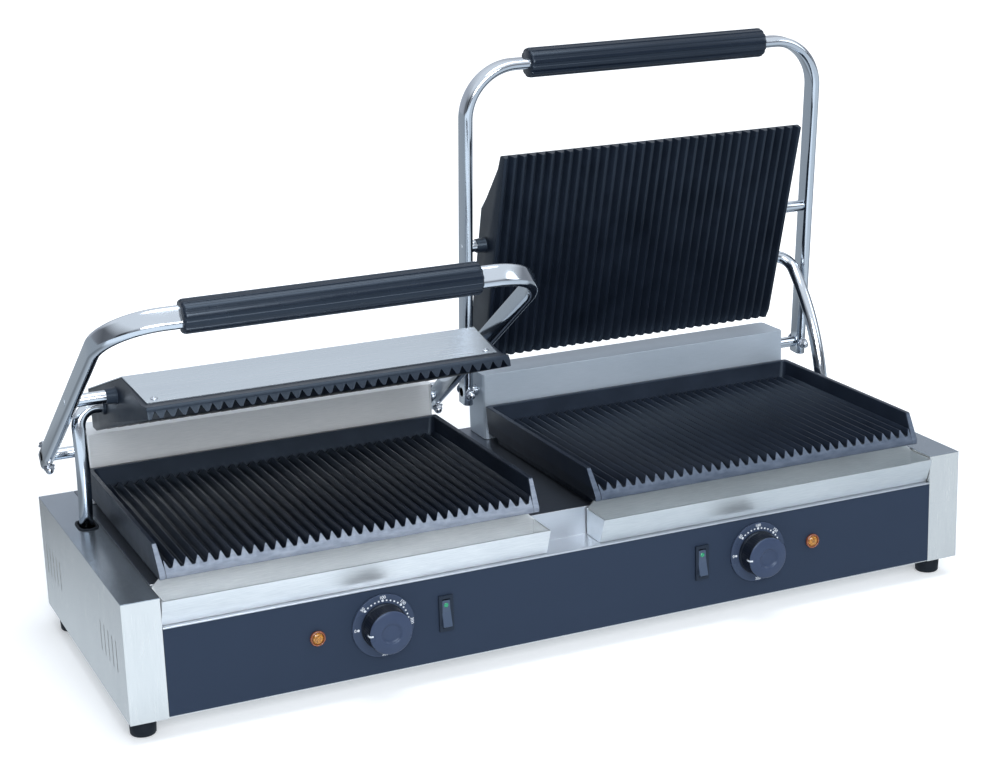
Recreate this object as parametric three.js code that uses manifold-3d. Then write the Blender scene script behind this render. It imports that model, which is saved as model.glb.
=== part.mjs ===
// Double contact grill: one housing, two ribbed lower plates, and two sprung lids with ribbed upper plates.
// Millimetres. X runs to the right, Y to the back and Z up. The part stands on its feet at Z = 0.
import * as THREE from 'three';
import { mergeVertices } from 'three/addons/utils/BufferGeometryUtils.js';
import Module from 'manifold-3d';

const wasm = await Module();
wasm.setup();

// Driving dimensions: housing. Its width and depth follow from the plates and what stands behind them.
const plateSideMargin = 36.5;
const rearMargin = 6;
const housingHeight = 107;
const sheet = 1.5;
const endCapFromPlate = 3.5;
const channelDepth = 33;
const channelHeight = 26.5;
const panelAboveBottom = 1.5;
const footHeight = 19.5;
const footRadius = 12;
const footStemRadius = 3;
const footFromSide = 16;
const footFromFront = 25;

// Driving dimensions: lower plates
const lowerWidth = 347;
const lowerDepth = 240;
const lowerFront = 15;
const platesApart = 53;
const lowerRimHeight = 36.7;
const lowerTipHeight = 23.5;
const lowerBandTop = 13.4;
const lowerUnderside = 9;
const frontSlope = 33 * Math.PI / 180;
const rimTopWall = 4.5;
const rimFootWall = 7;
const rimDraft = 1.2;
const skirtInset = 6;
const skirtFromChannel = 1;
const skirtWall = 5;
const skirtCornerRadius = 12;
const ribCount = 33;
const ribHeight = 6;
const ribValleyFlat = 2.4;

// Driving dimensions: upper plates. Insets are from the closed lower plates' edges, heights from the pins.
const upperSideInset = 10;
const upperFrontInset = 10;
const upperRearInset = 21;
const upperDrop = 27;
const upperCreaseSetback = 72;
const upperCreaseHeight = 12.8;
const upperFasciaSetback = 16.5;
const upperFasciaTop = 13.8;
const upperNoseHeight = 10.5;
const upperNoseChamfer = 4;
const upperBevel = 12;
const upperBevelHeight = 6;
const upperBackLean = 7;
const upperSlab = 7;
const upperWall = 5;
const plateGap = 0.6;
const topCoverSheet = 1;
const topCoverFlange = 12;
const topCoverTaper = 5;

// Driving dimensions: lids
const axleHeight = 47;
const axleRadius = 5.5;
const pinFromPlateFront = 115;
const gripBeyondPin = 176;
const bowOffset = 10.5;
const tubeWide = 20;
const tubeThin = 10;
const tubeCorner = 4;
const bowBendRadius = 50;
const legOverhang = 12;
const gripFromBend = 14;
const gripRadius = 14.5;
const gripFluteCount = 12;
const gripFluteRadius = 2.6;
const pinRadius = 5.75;
const pinSpigotRadius = 3.5;
const pinBossRadius = 7.6;
const pinBossLength = 9.5;
const boltRadius = 2.3;
const boltHeadRadius = 4.6;
const boltHeadHeight = 3.2;
const capNutRadius = 4.8;
const capNutHeight = 4;

// Driving dimensions: spring covers and what they hold
const springCoverInset = 1;
const springCoverFromPlate = 4;
const springCoverDepth = 42;
const springCoverAboveAxle = 20;
const springCoverCorner = 4;
const springCoverSheet = 1.2;
const bracketSheet = 2.5;
const bracketInset = 6;
const bracketEarWidth = 28;
const springTurns = 4;
const springWireRadius = 1.5;
const springTurnGap = 0.8;
const springLegLength = 13;

// Driving dimensions: conduits
const conduitFromLeg = 10.5;
const conduitRadius = 6.25;
const conduitElbowRadius = 17;
const conduitCurveRadius = 200;
const conduitAheadOfAxle = 73;
const conduitBehindPin = 54;
const conduitBelowPin = 6;
const conduitTailLeft = 82;
const conduitTailRight = 8.4;
const conduitBossRadius = 8.2;
const conduitBossLength = 2.5;
const grommetAheadOfConduit = 2.7;
const grommetPlayAcross = 2;
const grommetPlayAlong = 13.9;
const grommetWall = 1.9;
const grommetFlange = 1.2;
const grommetFromSeam = 2.35;

// Driving dimensions: drip trays
const trayFromMiddle = 26.4;
const trayRearGap = 2;
const trayFloorFront = 5;
const trayFlare = 9.5;
const trayBelowPlate = 1.7;
const traySheet = 1.2;
const trayBackRise = 9.5;

// Driving dimensions: controls on the front panel
const controlHeight = 45.5;
const switchFromCentre = 127;
const dialFromSwitch = 58.5;
const lampFromDial = 59.5;
const dialRadius = 28.5;
const dialThickness = 2;
const knobRadius = 20;
const knobLength = 20;
const knobDishRadius = 10;
const knobDishDepth = 1.2;
const knobRibCount = 20;
const knobRibDepth = 0.7;
const spindleRadius = 3;
const spindleLength = 14;
const lampRadius = 6.8;
const lampBodyRadius = 4.8;
const lampRise = 4;
const lampBodyLength = 24;
const switchWidth = 13.5;
const switchHeight = 33;
const switchBezel = 1.8;
const switchRim = 1.6;
const switchBodyDepth = 18;
const rockerTilt = 9 * Math.PI / 180;
const rockerRise = 4.2;
const thermostatWidth = 38;
const thermostatHeight = 30;
const thermostatDepth = 34;
const bushingRadius = 5;
const bushingLength = 8;

// Driving dimensions: heating elements, gland and terminal block
const heaterRadius = 3.6;
const heaterRunCount = 4;
const heaterFromSide = 55.5;
const heaterFromBack = 15;
const heaterTerminalLength = 16;
const glandRadius = 10;
const glandBore = 4.5;
const glandLength = 16;
const glandCollarRadius = 13;
const glandFromCentre = 150;
const glandHeight = 40;
const terminalWidth = 40;
const terminalDepth = 22;
const terminalHeight = 18;
const terminalPoles = 3;

// How far each lid is open in the rest pose, how much of that its plate swings, and its conduit's hidden tail
const degree = Math.PI / 180;
const lids = [
  { name: 'left', side: -1, opening: 32.4 * degree, plateTiltShare: 0.54, conduitTail: conduitTailLeft },
  { name: 'right', side: 1, opening: 83.7 * degree, plateTiltShare: 0.877, conduitTail: conduitTailRight },
];

// Clearances, and the overrun that lets a cut pass right through
const fitGap = 0.3;
const runningGap = 0.45;
const overrun = 5;

// Facets
const roundSides = 16;
const smallSides = 10;
const tubeSides = 10;
const bendSteps = 6;
const curveSteps = 9;
const heaterBendSteps = 4;
const cornerSteps = 2;
const heaterSides = 5;
const springSides = 5;
const hexSides = 6;
const dialSides = 32;

// Derived sizes and places
const plateSpacing = lowerWidth + platesApart;
const housingWidth = plateSpacing + lowerWidth + 2 * plateSideMargin;
const endCapWidth = plateSideMargin - endCapFromPlate;
const lowerBack = lowerFront + lowerDepth;
const ribPitch = (lowerWidth - 2 * rimFootWall) / (ribCount + 1);
const springCoverWidth = lowerWidth - 2 * springCoverInset;
const springCoverFront = lowerBack + springCoverFromPlate;
const springCoverBack = springCoverFront + springCoverDepth;
const springCoverHeight = axleHeight + springCoverAboveAxle;
const housingDepth = springCoverBack + rearMargin;
const axleFromFront = (springCoverFront + springCoverBack) / 2;
const pinDistance = axleFromFront - lowerFront - pinFromPlateFront;
const gripDistance = pinDistance + gripBeyondPin;
const upperWidth = lowerWidth - 2 * upperSideInset;
const upperFront = pinFromPlateFront - upperFrontInset;
const upperBack = lowerDepth - pinFromPlateFront - upperRearInset;
const upperCrease = upperFront - upperCreaseSetback;
const upperFasciaReach = upperFront - upperFasciaSetback;
const grommetSlotWidth = 2 * conduitRadius + grommetPlayAcross;
const grommetSlotLength = 2 * conduitRadius + grommetPlayAlong;
const conduitX = lowerWidth / 2 + endCapFromPlate + grommetFromSeam + grommetWall + grommetSlotWidth / 2;
const bowSpan = 2 * (conduitX + conduitFromLeg - bowOffset);
const gripLength = bowSpan + tubeThin - 2 * (bowBendRadius + gripFromBend);
const springPitch = 2 * springWireRadius + springTurnGap;
const dialFromCentre = switchFromCentre + dialFromSwitch;
const lampFromCentre = dialFromCentre + lampFromDial;
const conduitRestFromFront = axleFromFront - conduitAheadOfAxle;
const grommetFromFront = conduitRestFromFront - grommetAheadOfConduit;
const trayBack = channelDepth - trayRearGap;
const trayHeight = channelHeight + lowerUnderside - trayBackRise - fitGap - trayBelowPlate;
const heaterRunLength = lowerWidth - 2 * heaterFromSide;
const heaterRunSpacing = (upperBack - heaterFromBack + upperCrease) / (heaterRunCount - 1);
const deckTop = footHeight + housingHeight;
const channelFloor = deckTop - channelHeight;
const innerHalfWidth = housingWidth / 2 - endCapWidth;
const axleZ = deckTop + axleHeight;
const lowerTipZ = deckTop + lowerTipHeight;
const closedPinZ = lowerTipZ + plateGap + upperDrop;
const closedRise = Math.asin((closedPinZ - axleZ) / pinDistance);

// Solids: shapes from three.js, joined and cut by manifold
function solidOf(geometry) {
  geometry.deleteAttribute('normal');
  geometry.deleteAttribute('uv');
  const merged = mergeVertices(geometry, 1e-4);
  const mesh = new wasm.Mesh({
    numProp: 3,
    vertProperties: merged.attributes.position.array,
    triVerts: merged.index.array,
  });
  return new wasm.Manifold(mesh);
}

function geometryOf(solid) {
  const mesh = solid.getMesh();
  const geometry = new THREE.BufferGeometry();
  geometry.setAttribute('position', new THREE.BufferAttribute(mesh.vertProperties, 3));
  geometry.setIndex(new THREE.BufferAttribute(mesh.triVerts, 1));
  geometry.computeVertexNormals();
  return geometry;
}

function prism(outline, length, matrix) {
  const shape = new THREE.Shape(outline.map(([a, b]) => new THREE.Vector2(a, b)));
  const geometry = new THREE.ExtrudeGeometry(shape, { depth: length, bevelEnabled: false });
  return solidOf(geometry.applyMatrix4(matrix));
}

const unitX = new THREE.Vector3(1, 0, 0);
const unitY = new THREE.Vector3(0, 1, 0);
const unitZ = new THREE.Vector3(0, 0, 1);
const backY = new THREE.Vector3(0, -1, 0);

// An outline of [y, z] points, drawn out along X
function acrossX(outline, fromX, toX) {
  const matrix = new THREE.Matrix4().makeBasis(unitY, unitZ, unitX).setPosition(fromX, 0, 0);
  return prism(outline, toX - fromX, matrix);
}

// An outline of [x, z] points, drawn out along Y
function alongY(outline, fromY, toY) {
  const matrix = new THREE.Matrix4().makeBasis(unitX, unitZ, backY).setPosition(0, toY, 0);
  return prism(outline, toY - fromY, matrix);
}

// An outline of [x, y] points, drawn up along Z
function upZ(outline, fromZ, toZ) {
  return prism(outline, toZ - fromZ, new THREE.Matrix4().makeTranslation(0, 0, fromZ));
}

function block([x0, y0, z0], [x1, y1, z1]) {
  const geometry = new THREE.BoxGeometry(x1 - x0, y1 - y0, z1 - z0);
  return solidOf(geometry.translate((x0 + x1) / 2, (y0 + y1) / 2, (z0 + z1) / 2));
}

// A round bar between two points on one axis
function bar(radius, from, to, sides = roundSides) {
  const start = new THREE.Vector3(...from);
  const end = new THREE.Vector3(...to);
  const way = end.clone().sub(start);
  const geometry = new THREE.CylinderGeometry(radius, radius, way.length(), sides);
  const turn = new THREE.Quaternion().setFromUnitVectors(unitY, way.clone().normalize());
  const middle = start.clone().add(end).divideScalar(2);
  geometry.applyQuaternion(turn);
  return solidOf(geometry.translate(middle.x, middle.y, middle.z));
}

// A profile of [radius, height] points turned about an axis that starts at a point
function turned(profile, [x, y, z], axis, sides = roundSides) {
  const geometry = new THREE.LatheGeometry(profile.map(([r, h]) => new THREE.Vector2(r, h)), sides);
  geometry.applyQuaternion(new THREE.Quaternion().setFromUnitVectors(unitY, axis));
  return solidOf(geometry.translate(x, y, z));
}

function join(...solids) {
  return solids.reduce((all, solid) => all.add(solid));
}

function cut(solid, ...tools) {
  return tools.reduce((rest, tool) => rest.subtract(tool), solid);
}

// A line of points moved sideways by a distance, with mitred corners
function offsetLine(points, distance) {
  return points.map((point, i) => {
    const before = points[Math.max(i - 1, 0)];
    const after = points[Math.min(i + 1, points.length - 1)];
    const normals = [[before, point], [point, after]]
      .map(([p, q]) => [p[1] - q[1], q[0] - p[0]])
      .filter(([a, b]) => Math.hypot(a, b) > 0)
      .map(([a, b]) => [a / Math.hypot(a, b), b / Math.hypot(a, b)]);
    const sum = [0, 1].map((k) => normals.reduce((total, normal) => total + normal[k], 0));
    const scale = distance * normals.length / (sum[0] ** 2 + sum[1] ** 2);
    return [point[0] + sum[0] * scale, point[1] + sum[1] * scale];
  });
}

// The outline of a folded sheet that follows a line of points
function foldedSheet(points, thickness) {
  return [...points, ...offsetLine(points, thickness).reverse()];
}

function roundedRectangle(x0, x1, y0, y1, radius, steps = cornerSteps) {
  const corners = [[x1 - radius, y1 - radius], [x0 + radius, y1 - radius], [x0 + radius, y0 + radius],
    [x1 - radius, y0 + radius]];
  return corners.flatMap(([x, y], quarter) => Array.from({ length: steps + 1 }, (_, i) => {
    const angle = (quarter + i / steps) * Math.PI / 2;
    return [x + radius * Math.cos(angle), y + radius * Math.sin(angle)];
  }));
}

function ring(radius, sides) {
  return Array.from({ length: sides }, (_, i) => {
    const angle = i / sides * 2 * Math.PI;
    return [radius * Math.cos(angle), radius * Math.sin(angle)];
  });
}

// A tube's route, made of straight runs and bends, with a step at each point that it passes
class Route extends THREE.Curve {
  constructor(start, heading) {
    super();
    this.points = [start.clone()];
    this.headings = [heading.clone().normalize()];
  }

  get end() {
    return this.points[this.points.length - 1];
  }

  get heading() {
    return this.headings[this.headings.length - 1];
  }

  run(length) {
    this.points.push(this.end.clone().addScaledVector(this.heading, length));
    this.headings.push(this.heading.clone());
    return this;
  }

  bend(axis, angle, radius, steps = bendSteps) {
    const toCentre = new THREE.Vector3().crossVectors(axis, this.heading).multiplyScalar(radius);
    const centre = this.end.clone().add(toCentre);
    const start = this.end.clone();
    const heading = this.heading.clone();
    for (let i = 1; i <= steps; i += 1) {
      const turn = new THREE.Quaternion().setFromAxisAngle(axis, angle * i / steps);
      this.points.push(start.clone().sub(centre).applyQuaternion(turn).add(centre));
      this.headings.push(heading.clone().applyQuaternion(turn));
    }
    return this;
  }

  getPointAt(share) {
    return this.points[Math.round(share * (this.points.length - 1))].clone();
  }

  getTangentAt(share) {
    return this.headings[Math.round(share * (this.headings.length - 1))].clone();
  }
}

function tube(route, section) {
  const shape = new THREE.Shape(section.map(([a, b]) => new THREE.Vector2(a, b)));
  const steps = route.points.length - 1;
  return solidOf(new THREE.ExtrudeGeometry(shape, { steps, extrudePath: route, bevelEnabled: false }));
}

// Materials
function finish(color, roughness, metalness) {
  return () => new THREE.MeshStandardMaterial({ color, roughness, metalness });
}

const brushedSteel = finish(0xb9c2cc, 0.38, 0.95);
const chrome = finish(0xd9dfe6, 0.1, 1);
const castIron = finish(0x242a33, 0.62, 0.35);
const panelPaint = finish(0x3a4254, 0.5, 0.1);
const blackPlastic = finish(0x1d2027, 0.45, 0);
const gripPlastic = finish(0x2b303b, 0.5, 0);
const rubber = finish(0x15161a, 0.85, 0);
const zincSteel = finish(0x8f959c, 0.45, 0.9);
const elementSteel = finish(0x4a4844, 0.55, 0.8);
const amberLens = finish(0xe08a1e, 0.2, 0);
const dialPlate = finish(0x22262e, 0.4, 0);

const grill = new THREE.Group();

function addPiece(parent, name, solid, material) {
  const mesh = new THREE.Mesh(geometryOf(solid), material());
  mesh.name = name;
  parent.add(mesh);
}

// Housing: end caps, deck with the tray channel, front and rear panels, bottom and feet
const ventCount = 5;
const ventPitch = 13.4;
const ventWidth = 2.6;
const ventHeight = 28;
const ventBottom = 37;
const ventFromFront = 28;
const ventFromBack = 71;

// The slot for the conduit, grown by a margin all round
function grommetOutline(side, grow) {
  const x = side * (plateSpacing / 2 + conduitX);
  return roundedRectangle(
    x - grommetSlotWidth / 2 - grow,
    x + grommetSlotWidth / 2 + grow,
    grommetFromFront - grommetSlotLength / 2 - grow,
    grommetFromFront + grommetSlotLength / 2 + grow,
    grommetSlotWidth / 2,
  );
}

function endCap(side) {
  const outer = side * housingWidth / 2;
  const wall = outer - side * sheet;
  const inner = outer - side * endCapWidth;
  const span = (a, b) => [Math.min(a, b), Math.max(a, b)];
  const [x0, x1] = span(outer, inner);
  const [h0, h1] = span(wall, inner - side * overrun);
  const [c0, c1] = span(inner, inner + side * sheet);
  const shell = block([x0, 0, footHeight], [x1, housingDepth, deckTop]);
  const hollow = block([h0, sheet, footHeight - overrun], [h1, housingDepth - sheet, deckTop - sheet]);
  const cheek = block([c0, 0, channelFloor], [c1, channelDepth, deckTop]);
  const hole = grommetOutline(side, grommetWall / 2);
  const vents = [ventFromFront, housingDepth - ventFromBack];
  const slots = vents.flatMap((start) => Array.from({ length: ventCount }, (_, i) => {
    const y = start + i * ventPitch;
    const z = footHeight + ventBottom;
    const [v0, v1] = span(outer + side * overrun, wall - side * sheet);
    return block([v0, y, z], [v1, y + ventWidth, z + ventHeight]);
  }));
  return cut(join(cut(shell, hollow), cheek), upZ(hole, deckTop - sheet * 2, deckTop + overrun), ...slots);
}

// The plate well is the opening in the deck under a lower plate
const wellInsetX = 24;
const wellFrontInset = 37;
const wellRearInset = 17;
const wellFront = lowerFront + wellFrontInset;
const wellBack = lowerBack - wellRearInset;

function deck() {
  const halfWidth = innerHalfWidth - fitGap;
  const line = [
    [0, channelFloor],
    [channelDepth, channelFloor],
    [channelDepth, deckTop],
    [housingDepth - sheet - fitGap, deckTop],
  ];
  const folded = acrossX(foldedSheet(line, -sheet), -halfWidth, halfWidth);
  const wells = lids.map(({ side }) => {
    const centre = side * plateSpacing / 2;
    const half = lowerWidth / 2 - wellInsetX;
    return block([centre - half, wellFront, channelFloor], [centre + half, wellBack, deckTop + overrun]);
  });
  return cut(folded, ...wells);
}

function frontPanel() {
  const halfWidth = innerHalfWidth - fitGap;
  const top = channelFloor - sheet - fitGap;
  const panel = block([-halfWidth, 0, footHeight + panelAboveBottom], [halfWidth, sheet, top]);
  const z = footHeight + controlHeight;
  const panelHole = (x, radius) => bar(radius, [x, -overrun, z], [x, overrun, z], smallSides);
  const holes = lids.flatMap(({ side }) => {
    const switchX = side * switchFromCentre;
    const halfSwitch = switchWidth / 2 - switchRim + fitGap;
    const halfHeight = switchHeight / 2 - switchRim + fitGap;
    return [
      panelHole(side * dialFromCentre, bushingRadius + fitGap),
      panelHole(side * lampFromCentre, lampBodyRadius + fitGap),
      block([switchX - halfSwitch, -overrun, z - halfHeight],
        [switchX + halfSwitch, overrun, z + halfHeight]),
    ];
  });
  return cut(panel, ...holes);
}

function rearPanel() {
  const halfWidth = innerHalfWidth - fitGap;
  const panel = block([-halfWidth, housingDepth - sheet, footHeight], [halfWidth, housingDepth, deckTop]);
  const z = footHeight + glandHeight;
  const hole = bar(glandRadius + fitGap, [glandFromCentre, housingDepth - overrun, z],
    [glandFromCentre, housingDepth + overrun, z]);
  return cut(panel, hole);
}

const footPlaces = [
  { name: 'front_left', x: -1, y: footFromFront },
  { name: 'front_right', x: 1, y: footFromFront },
  { name: 'rear_left', x: -1, y: housingDepth - footFromFront },
  { name: 'rear_right', x: 1, y: housingDepth - footFromFront },
];
const footX = housingWidth / 2 - footFromSide;
const bottomLip = 10;

function bottomPlate() {
  const halfWidth = housingWidth / 2 - sheet - fitGap;
  const front = sheet + fitGap;
  const back = housingDepth - sheet - fitGap;
  const line = [
    [front, footHeight + bottomLip],
    [front, footHeight],
    [back, footHeight],
    [back, footHeight + bottomLip],
  ];
  const pan = acrossX(foldedSheet(line, sheet), -halfWidth, halfWidth);
  const holes = footPlaces.map(({ x, y }) => bar(footStemRadius + fitGap,
    [x * footX, y, footHeight - overrun], [x * footX, y, footHeight + overrun], smallSides));
  return cut(pan, ...holes);
}

const footTaper = 1;
const footStemRise = 4;

function foot({ x, y }) {
  const profile = [
    [0, 0],
    [footRadius - 2 * footTaper, 0],
    [footRadius - footTaper, footTaper],
    [footRadius, footHeight - fitGap],
    [footStemRadius, footHeight - fitGap],
    [footStemRadius, footHeight + footStemRise],
    [0, footHeight + footStemRise],
  ];
  return turned(profile, [x * footX, y, 0], unitZ);
}

addPiece(grill, 'bottom_plate', bottomPlate(), brushedSteel);
addPiece(grill, 'rear_panel', rearPanel(), brushedSteel);
addPiece(grill, 'deck', deck(), brushedSteel);
addPiece(grill, 'front_panel', frontPanel(), panelPaint);
footPlaces.forEach((place) => addPiece(grill, `foot_${place.name}`, foot(place), rubber));
lids.forEach(({ name, side }) => addPiece(grill, `side_cover_${name}`, endCap(side), brushedSteel));

// Lower plates: rim on three sides, 33 ribs, a sloped saw-tooth front and a skirt down to the deck
function lowerPlateSection(centre) {
  const half = lowerWidth / 2;
  const tipZ = lowerTipZ;
  const valleyZ = lowerTipZ - ribHeight;
  const firstTip = -ribPitch * (ribCount - 1) / 2;
  const ribs = Array.from({ length: ribCount + 1 }, (_, i) => {
    const valley = centre + firstTip + (i - 1 / 2) * ribPitch;
    const tip = [valley + ribPitch / 2, tipZ];
    const valleyFloor = [[valley - ribValleyFlat / 2, valleyZ], [valley + ribValleyFlat / 2, valleyZ]];
    return i < ribCount ? [...valleyFloor, tip] : valleyFloor;
  }).flat();
  const rim = (side) => [
    [centre + side * (half - rimDraft), deckTop + lowerUnderside],
    [centre + side * half, deckTop + lowerRimHeight],
    [centre + side * (half - rimTopWall), deckTop + lowerRimHeight],
    [centre + side * (half - rimFootWall), tipZ],
  ];
  return [...rim(-1), ...ribs, ...rim(1).reverse()];
}

function lowerPlate(side) {
  const centre = side * plateSpacing / 2;
  const half = lowerWidth / 2;
  const top = deckTop + lowerRimHeight;
  const bandTop = deckTop + lowerBandTop;
  const under = deckTop + lowerUnderside;
  const valleyZ = lowerTipZ - ribHeight;
  const frontLean = (top - bandTop) * Math.tan(frontSlope);
  const body = alongY(lowerPlateSection(centre), lowerFront - overrun, lowerBack);
  const sideView = [
    [lowerFront, under],
    [lowerFront, bandTop],
    [lowerFront + frontLean, top + overrun],
    [lowerBack + overrun, top + overrun],
    [lowerBack, top],
    [lowerBack - rimDraft, under],
  ];
  sideView[2][0] += overrun * Math.tan(frontSlope);
  const trimmed = body.intersect(acrossX(sideView, centre - half - overrun, centre + half + overrun));
  const ribRoom = half - rimFootWall;
  const ribStop = lowerBack - rimFootWall;
  const ribEnd = [
    [ribStop - ribHeight, lowerTipZ + overrun],
    [ribStop - ribHeight, lowerTipZ],
    [ribStop, valleyZ],
    [lowerBack - rimTopWall, top + overrun],
  ];
  const rear = acrossX([
    [lowerBack - rimFootWall, valleyZ],
    [lowerBack - rimTopWall, top],
    [lowerBack, top],
    [lowerBack - rimDraft, under],
    [lowerBack - rimFootWall, under],
  ], centre - half + rimFootWall / 2, centre + half - rimFootWall / 2);
  const cleared = cut(trimmed, acrossX(ribEnd, centre - ribRoom, centre + ribRoom));
  const skirtHalf = half - skirtInset;
  const skirtBack = lowerBack - skirtInset;
  const skirtOutline = (inset) => roundedRectangle(
    centre - skirtHalf + inset,
    centre + skirtHalf - inset,
    channelDepth + skirtFromChannel + inset,
    skirtBack - inset,
    skirtCornerRadius - inset,
  );
  const skirt = cut(
    upZ(skirtOutline(0), deckTop + fitGap, under + skirtWall / 2),
    upZ(skirtOutline(skirtWall), deckTop, under),
  );
  return join(cleared, rear, skirt);
}

lids.forEach(({ name, side }) => addPiece(grill, `lower_plate_${name}`, lowerPlate(side), castIron));

// Heating elements: a tube that runs to and fro, with its two ends turned to the terminals
function heaterRoute(start, ends, leave) {
  const bend = heaterRunSpacing / 2;
  const first = new THREE.Vector3(...start);
  const route = new Route(first.clone().addScaledVector(leave, heaterTerminalLength), leave.clone().negate());
  const elbow = heaterRadius * 2;
  route.run(heaterTerminalLength - elbow);
  const turnAxis = new THREE.Vector3().crossVectors(leave.clone().negate(), unitX);
  route.bend(turnAxis, Math.PI / 2, elbow, cornerSteps);
  for (let i = 0; i < heaterRunCount; i += 1) {
    const last = i === heaterRunCount - 1;
    route.run(heaterRunLength - (i === 0 ? elbow : 0) - (last ? elbow : 0));
    if (!last) {
      const axis = unitZ.clone().multiplyScalar(i % 2 === 0 ? 1 : -1);
      route.bend(axis, Math.PI, bend, heaterBendSteps);
    }
  }
  const out = new THREE.Vector3().crossVectors(route.heading, leave);
  route.bend(out, Math.PI / 2, elbow, cornerSteps);
  route.run(ends - elbow);
  return route;
}

function lowerHeater(side) {
  const centre = side * plateSpacing / 2;
  const middle = (wellFront + wellBack) / 2;
  const y = middle - heaterRunSpacing * (heaterRunCount - 1) / 2;
  const z = deckTop + lowerUnderside - fitGap - heaterRadius;
  const start = [centre - heaterRunLength / 2, y, z];
  const route = heaterRoute(start, heaterTerminalLength, unitZ.clone().negate());
  return tube(route, ring(heaterRadius, heaterSides));
}

lids.forEach(({ name, side }) => addPiece(grill, `lower_heater_${name}`, lowerHeater(side), elementSteel));

// Spring covers with the bracket and the torsion spring that they hide
const axleHole = axleRadius + runningGap;

function springCover(side) {
  const centre = side * plateSpacing / 2;
  const half = springCoverWidth / 2;
  const outline = (inset) => roundedRectangle(
    centre - half + inset,
    centre + half - inset,
    springCoverFront + inset,
    springCoverBack - inset,
    springCoverCorner - inset,
  );
  const top = deckTop + springCoverHeight;
  return cut(
    upZ(outline(0), deckTop + fitGap, top),
    upZ(outline(springCoverSheet), deckTop, top - springCoverSheet),
    bar(axleHole, [centre - half - overrun, axleFromFront, axleZ],
      [centre + half + overrun, axleFromFront, axleZ], smallSides),
  );
}

const springLength = (springTurns - 1) * springPitch + 2 * springWireRadius + springPitch;
const earBeside = springLength / 2 + fitGap;

function axleBracket(side) {
  const centre = side * plateSpacing / 2;
  const half = springCoverWidth / 2 - springCoverSheet - bracketInset;
  const y0 = axleFromFront - bracketEarWidth / 2;
  const y1 = axleFromFront + bracketEarWidth / 2;
  const base = deckTop + fitGap;
  const ears = [-half, -earBeside - bracketSheet, earBeside, half - bracketSheet].map((x) => {
    const ear = [
      [y0, base],
      [y1, base],
      [y1, axleZ],
      [axleFromFront + bracketEarWidth / 4, axleZ + axleHole * 2],
      [axleFromFront - bracketEarWidth / 4, axleZ + axleHole * 2],
      [y0, axleZ],
    ];
    return acrossX(ear, centre + x, centre + x + bracketSheet);
  });
  const strip = block([centre - half, y0, base], [centre + half, y1, base + bracketSheet]);
  const bore = bar(axleHole, [centre - half - overrun, axleFromFront, axleZ],
    [centre + half + overrun, axleFromFront, axleZ], smallSides);
  return cut(join(strip, ...ears), bore);
}

// The spring's centre line, in its own frame: a helix along X with a straight leg at each end
const springStepsPerTurn = 8;
const springCoilRadius = (axleRadius + fitGap + springWireRadius) / Math.cos(Math.PI / springStepsPerTurn);

function springPoints() {
  const steps = springTurns * springStepsPerTurn;
  const coil = Array.from({ length: steps + 1 }, (_, i) => {
    const angle = -Math.PI / 2 + i / springStepsPerTurn * 2 * Math.PI;
    const x = (i / steps - 1 / 2) * springTurns * springPitch;
    return new THREE.Vector3(x, springCoilRadius * Math.cos(angle), springCoilRadius * Math.sin(angle));
  });
  const leg = (end, way) => end.clone().add(new THREE.Vector3(0, way * springLegLength, 0));
  return [leg(coil[0], -1), ...coil, leg(coil[steps], 1)];
}

function torsionSpring(side) {
  const points = springPoints();
  const route = new Route(points[0], unitY);
  route.points = points;
  route.headings = points.map((point, i) => {
    const before = points[Math.max(i - 1, 0)];
    const after = points[Math.min(i + 1, points.length - 1)];
    return after.clone().sub(before).normalize();
  });
  return tube(route, ring(springWireRadius, springSides))
    .translate(side * plateSpacing / 2, axleFromFront, axleZ);
}

function leastSpringGap() {
  const points = springPoints();
  let least = Infinity;
  points.forEach((p, i) => points.slice(i + springStepsPerTurn / 2).forEach((q) => {
    least = Math.min(least, p.distanceTo(q) - 2 * springWireRadius);
  }));
  return least;
}

console.log(`least gap between the spring's turns: ${leastSpringGap().toFixed(2)} mm`);
lids.forEach(({ name, side }) => {
  addPiece(grill, `spring_cover_${name}`, springCover(side), brushedSteel);
  addPiece(grill, `axle_bracket_${name}`, axleBracket(side), zincSteel);
  addPiece(grill, `torsion_spring_${name}`, torsionSpring(side), zincSteel);
});

// Drip trays: a trough with a flared front, square ends and a back wall that stands higher
function dripTray(side) {
  const ends = [side * trayFromMiddle, side * (innerHalfWidth - 2 * fitGap)];
  const x0 = Math.min(...ends);
  const x1 = Math.max(...ends);
  const floor = channelFloor + fitGap;
  const top = floor + trayHeight;
  const section = (inset) => [
    [trayFloorFront + inset, floor + inset],
    [trayBack - inset, floor + inset],
    [trayBack - inset, top + inset],
    [trayFloorFront - trayFlare + inset, top + inset],
  ];
  const trough = cut(
    acrossX([...section(0)], x0, x1),
    acrossX([...section(traySheet)], x0 + traySheet, x1 - traySheet),
  );
  const rise = alongY([
    [x0, top - traySheet],
    [x1, top - traySheet],
    [x1, top],
    [x1 - trayBackRise, top + trayBackRise],
    [x0 + trayBackRise, top + trayBackRise],
    [x0, top],
  ], trayBack - traySheet, trayBack);
  return join(trough, rise);
}

lids.forEach(({ name, side }) => addPiece(grill, `drip_tray_${name}`, dripTray(side), brushedSteel));

// Controls: dial plate, knob on its spindle, thermostat, pilot lamp, rocker switch
const controlZ = footHeight + controlHeight;
const front = new THREE.Vector3(0, -1, 0);
const dialFace = fitGap + dialThickness;

function dial(side) {
  const x = side * dialFromCentre;
  return cut(
    bar(dialRadius, [x, -fitGap, controlZ], [x, -dialFace, controlZ], dialSides),
    bar(spindleRadius + runningGap, [x, overrun, controlZ], [x, -dialFace - overrun, controlZ], smallSides),
  );
}

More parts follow.
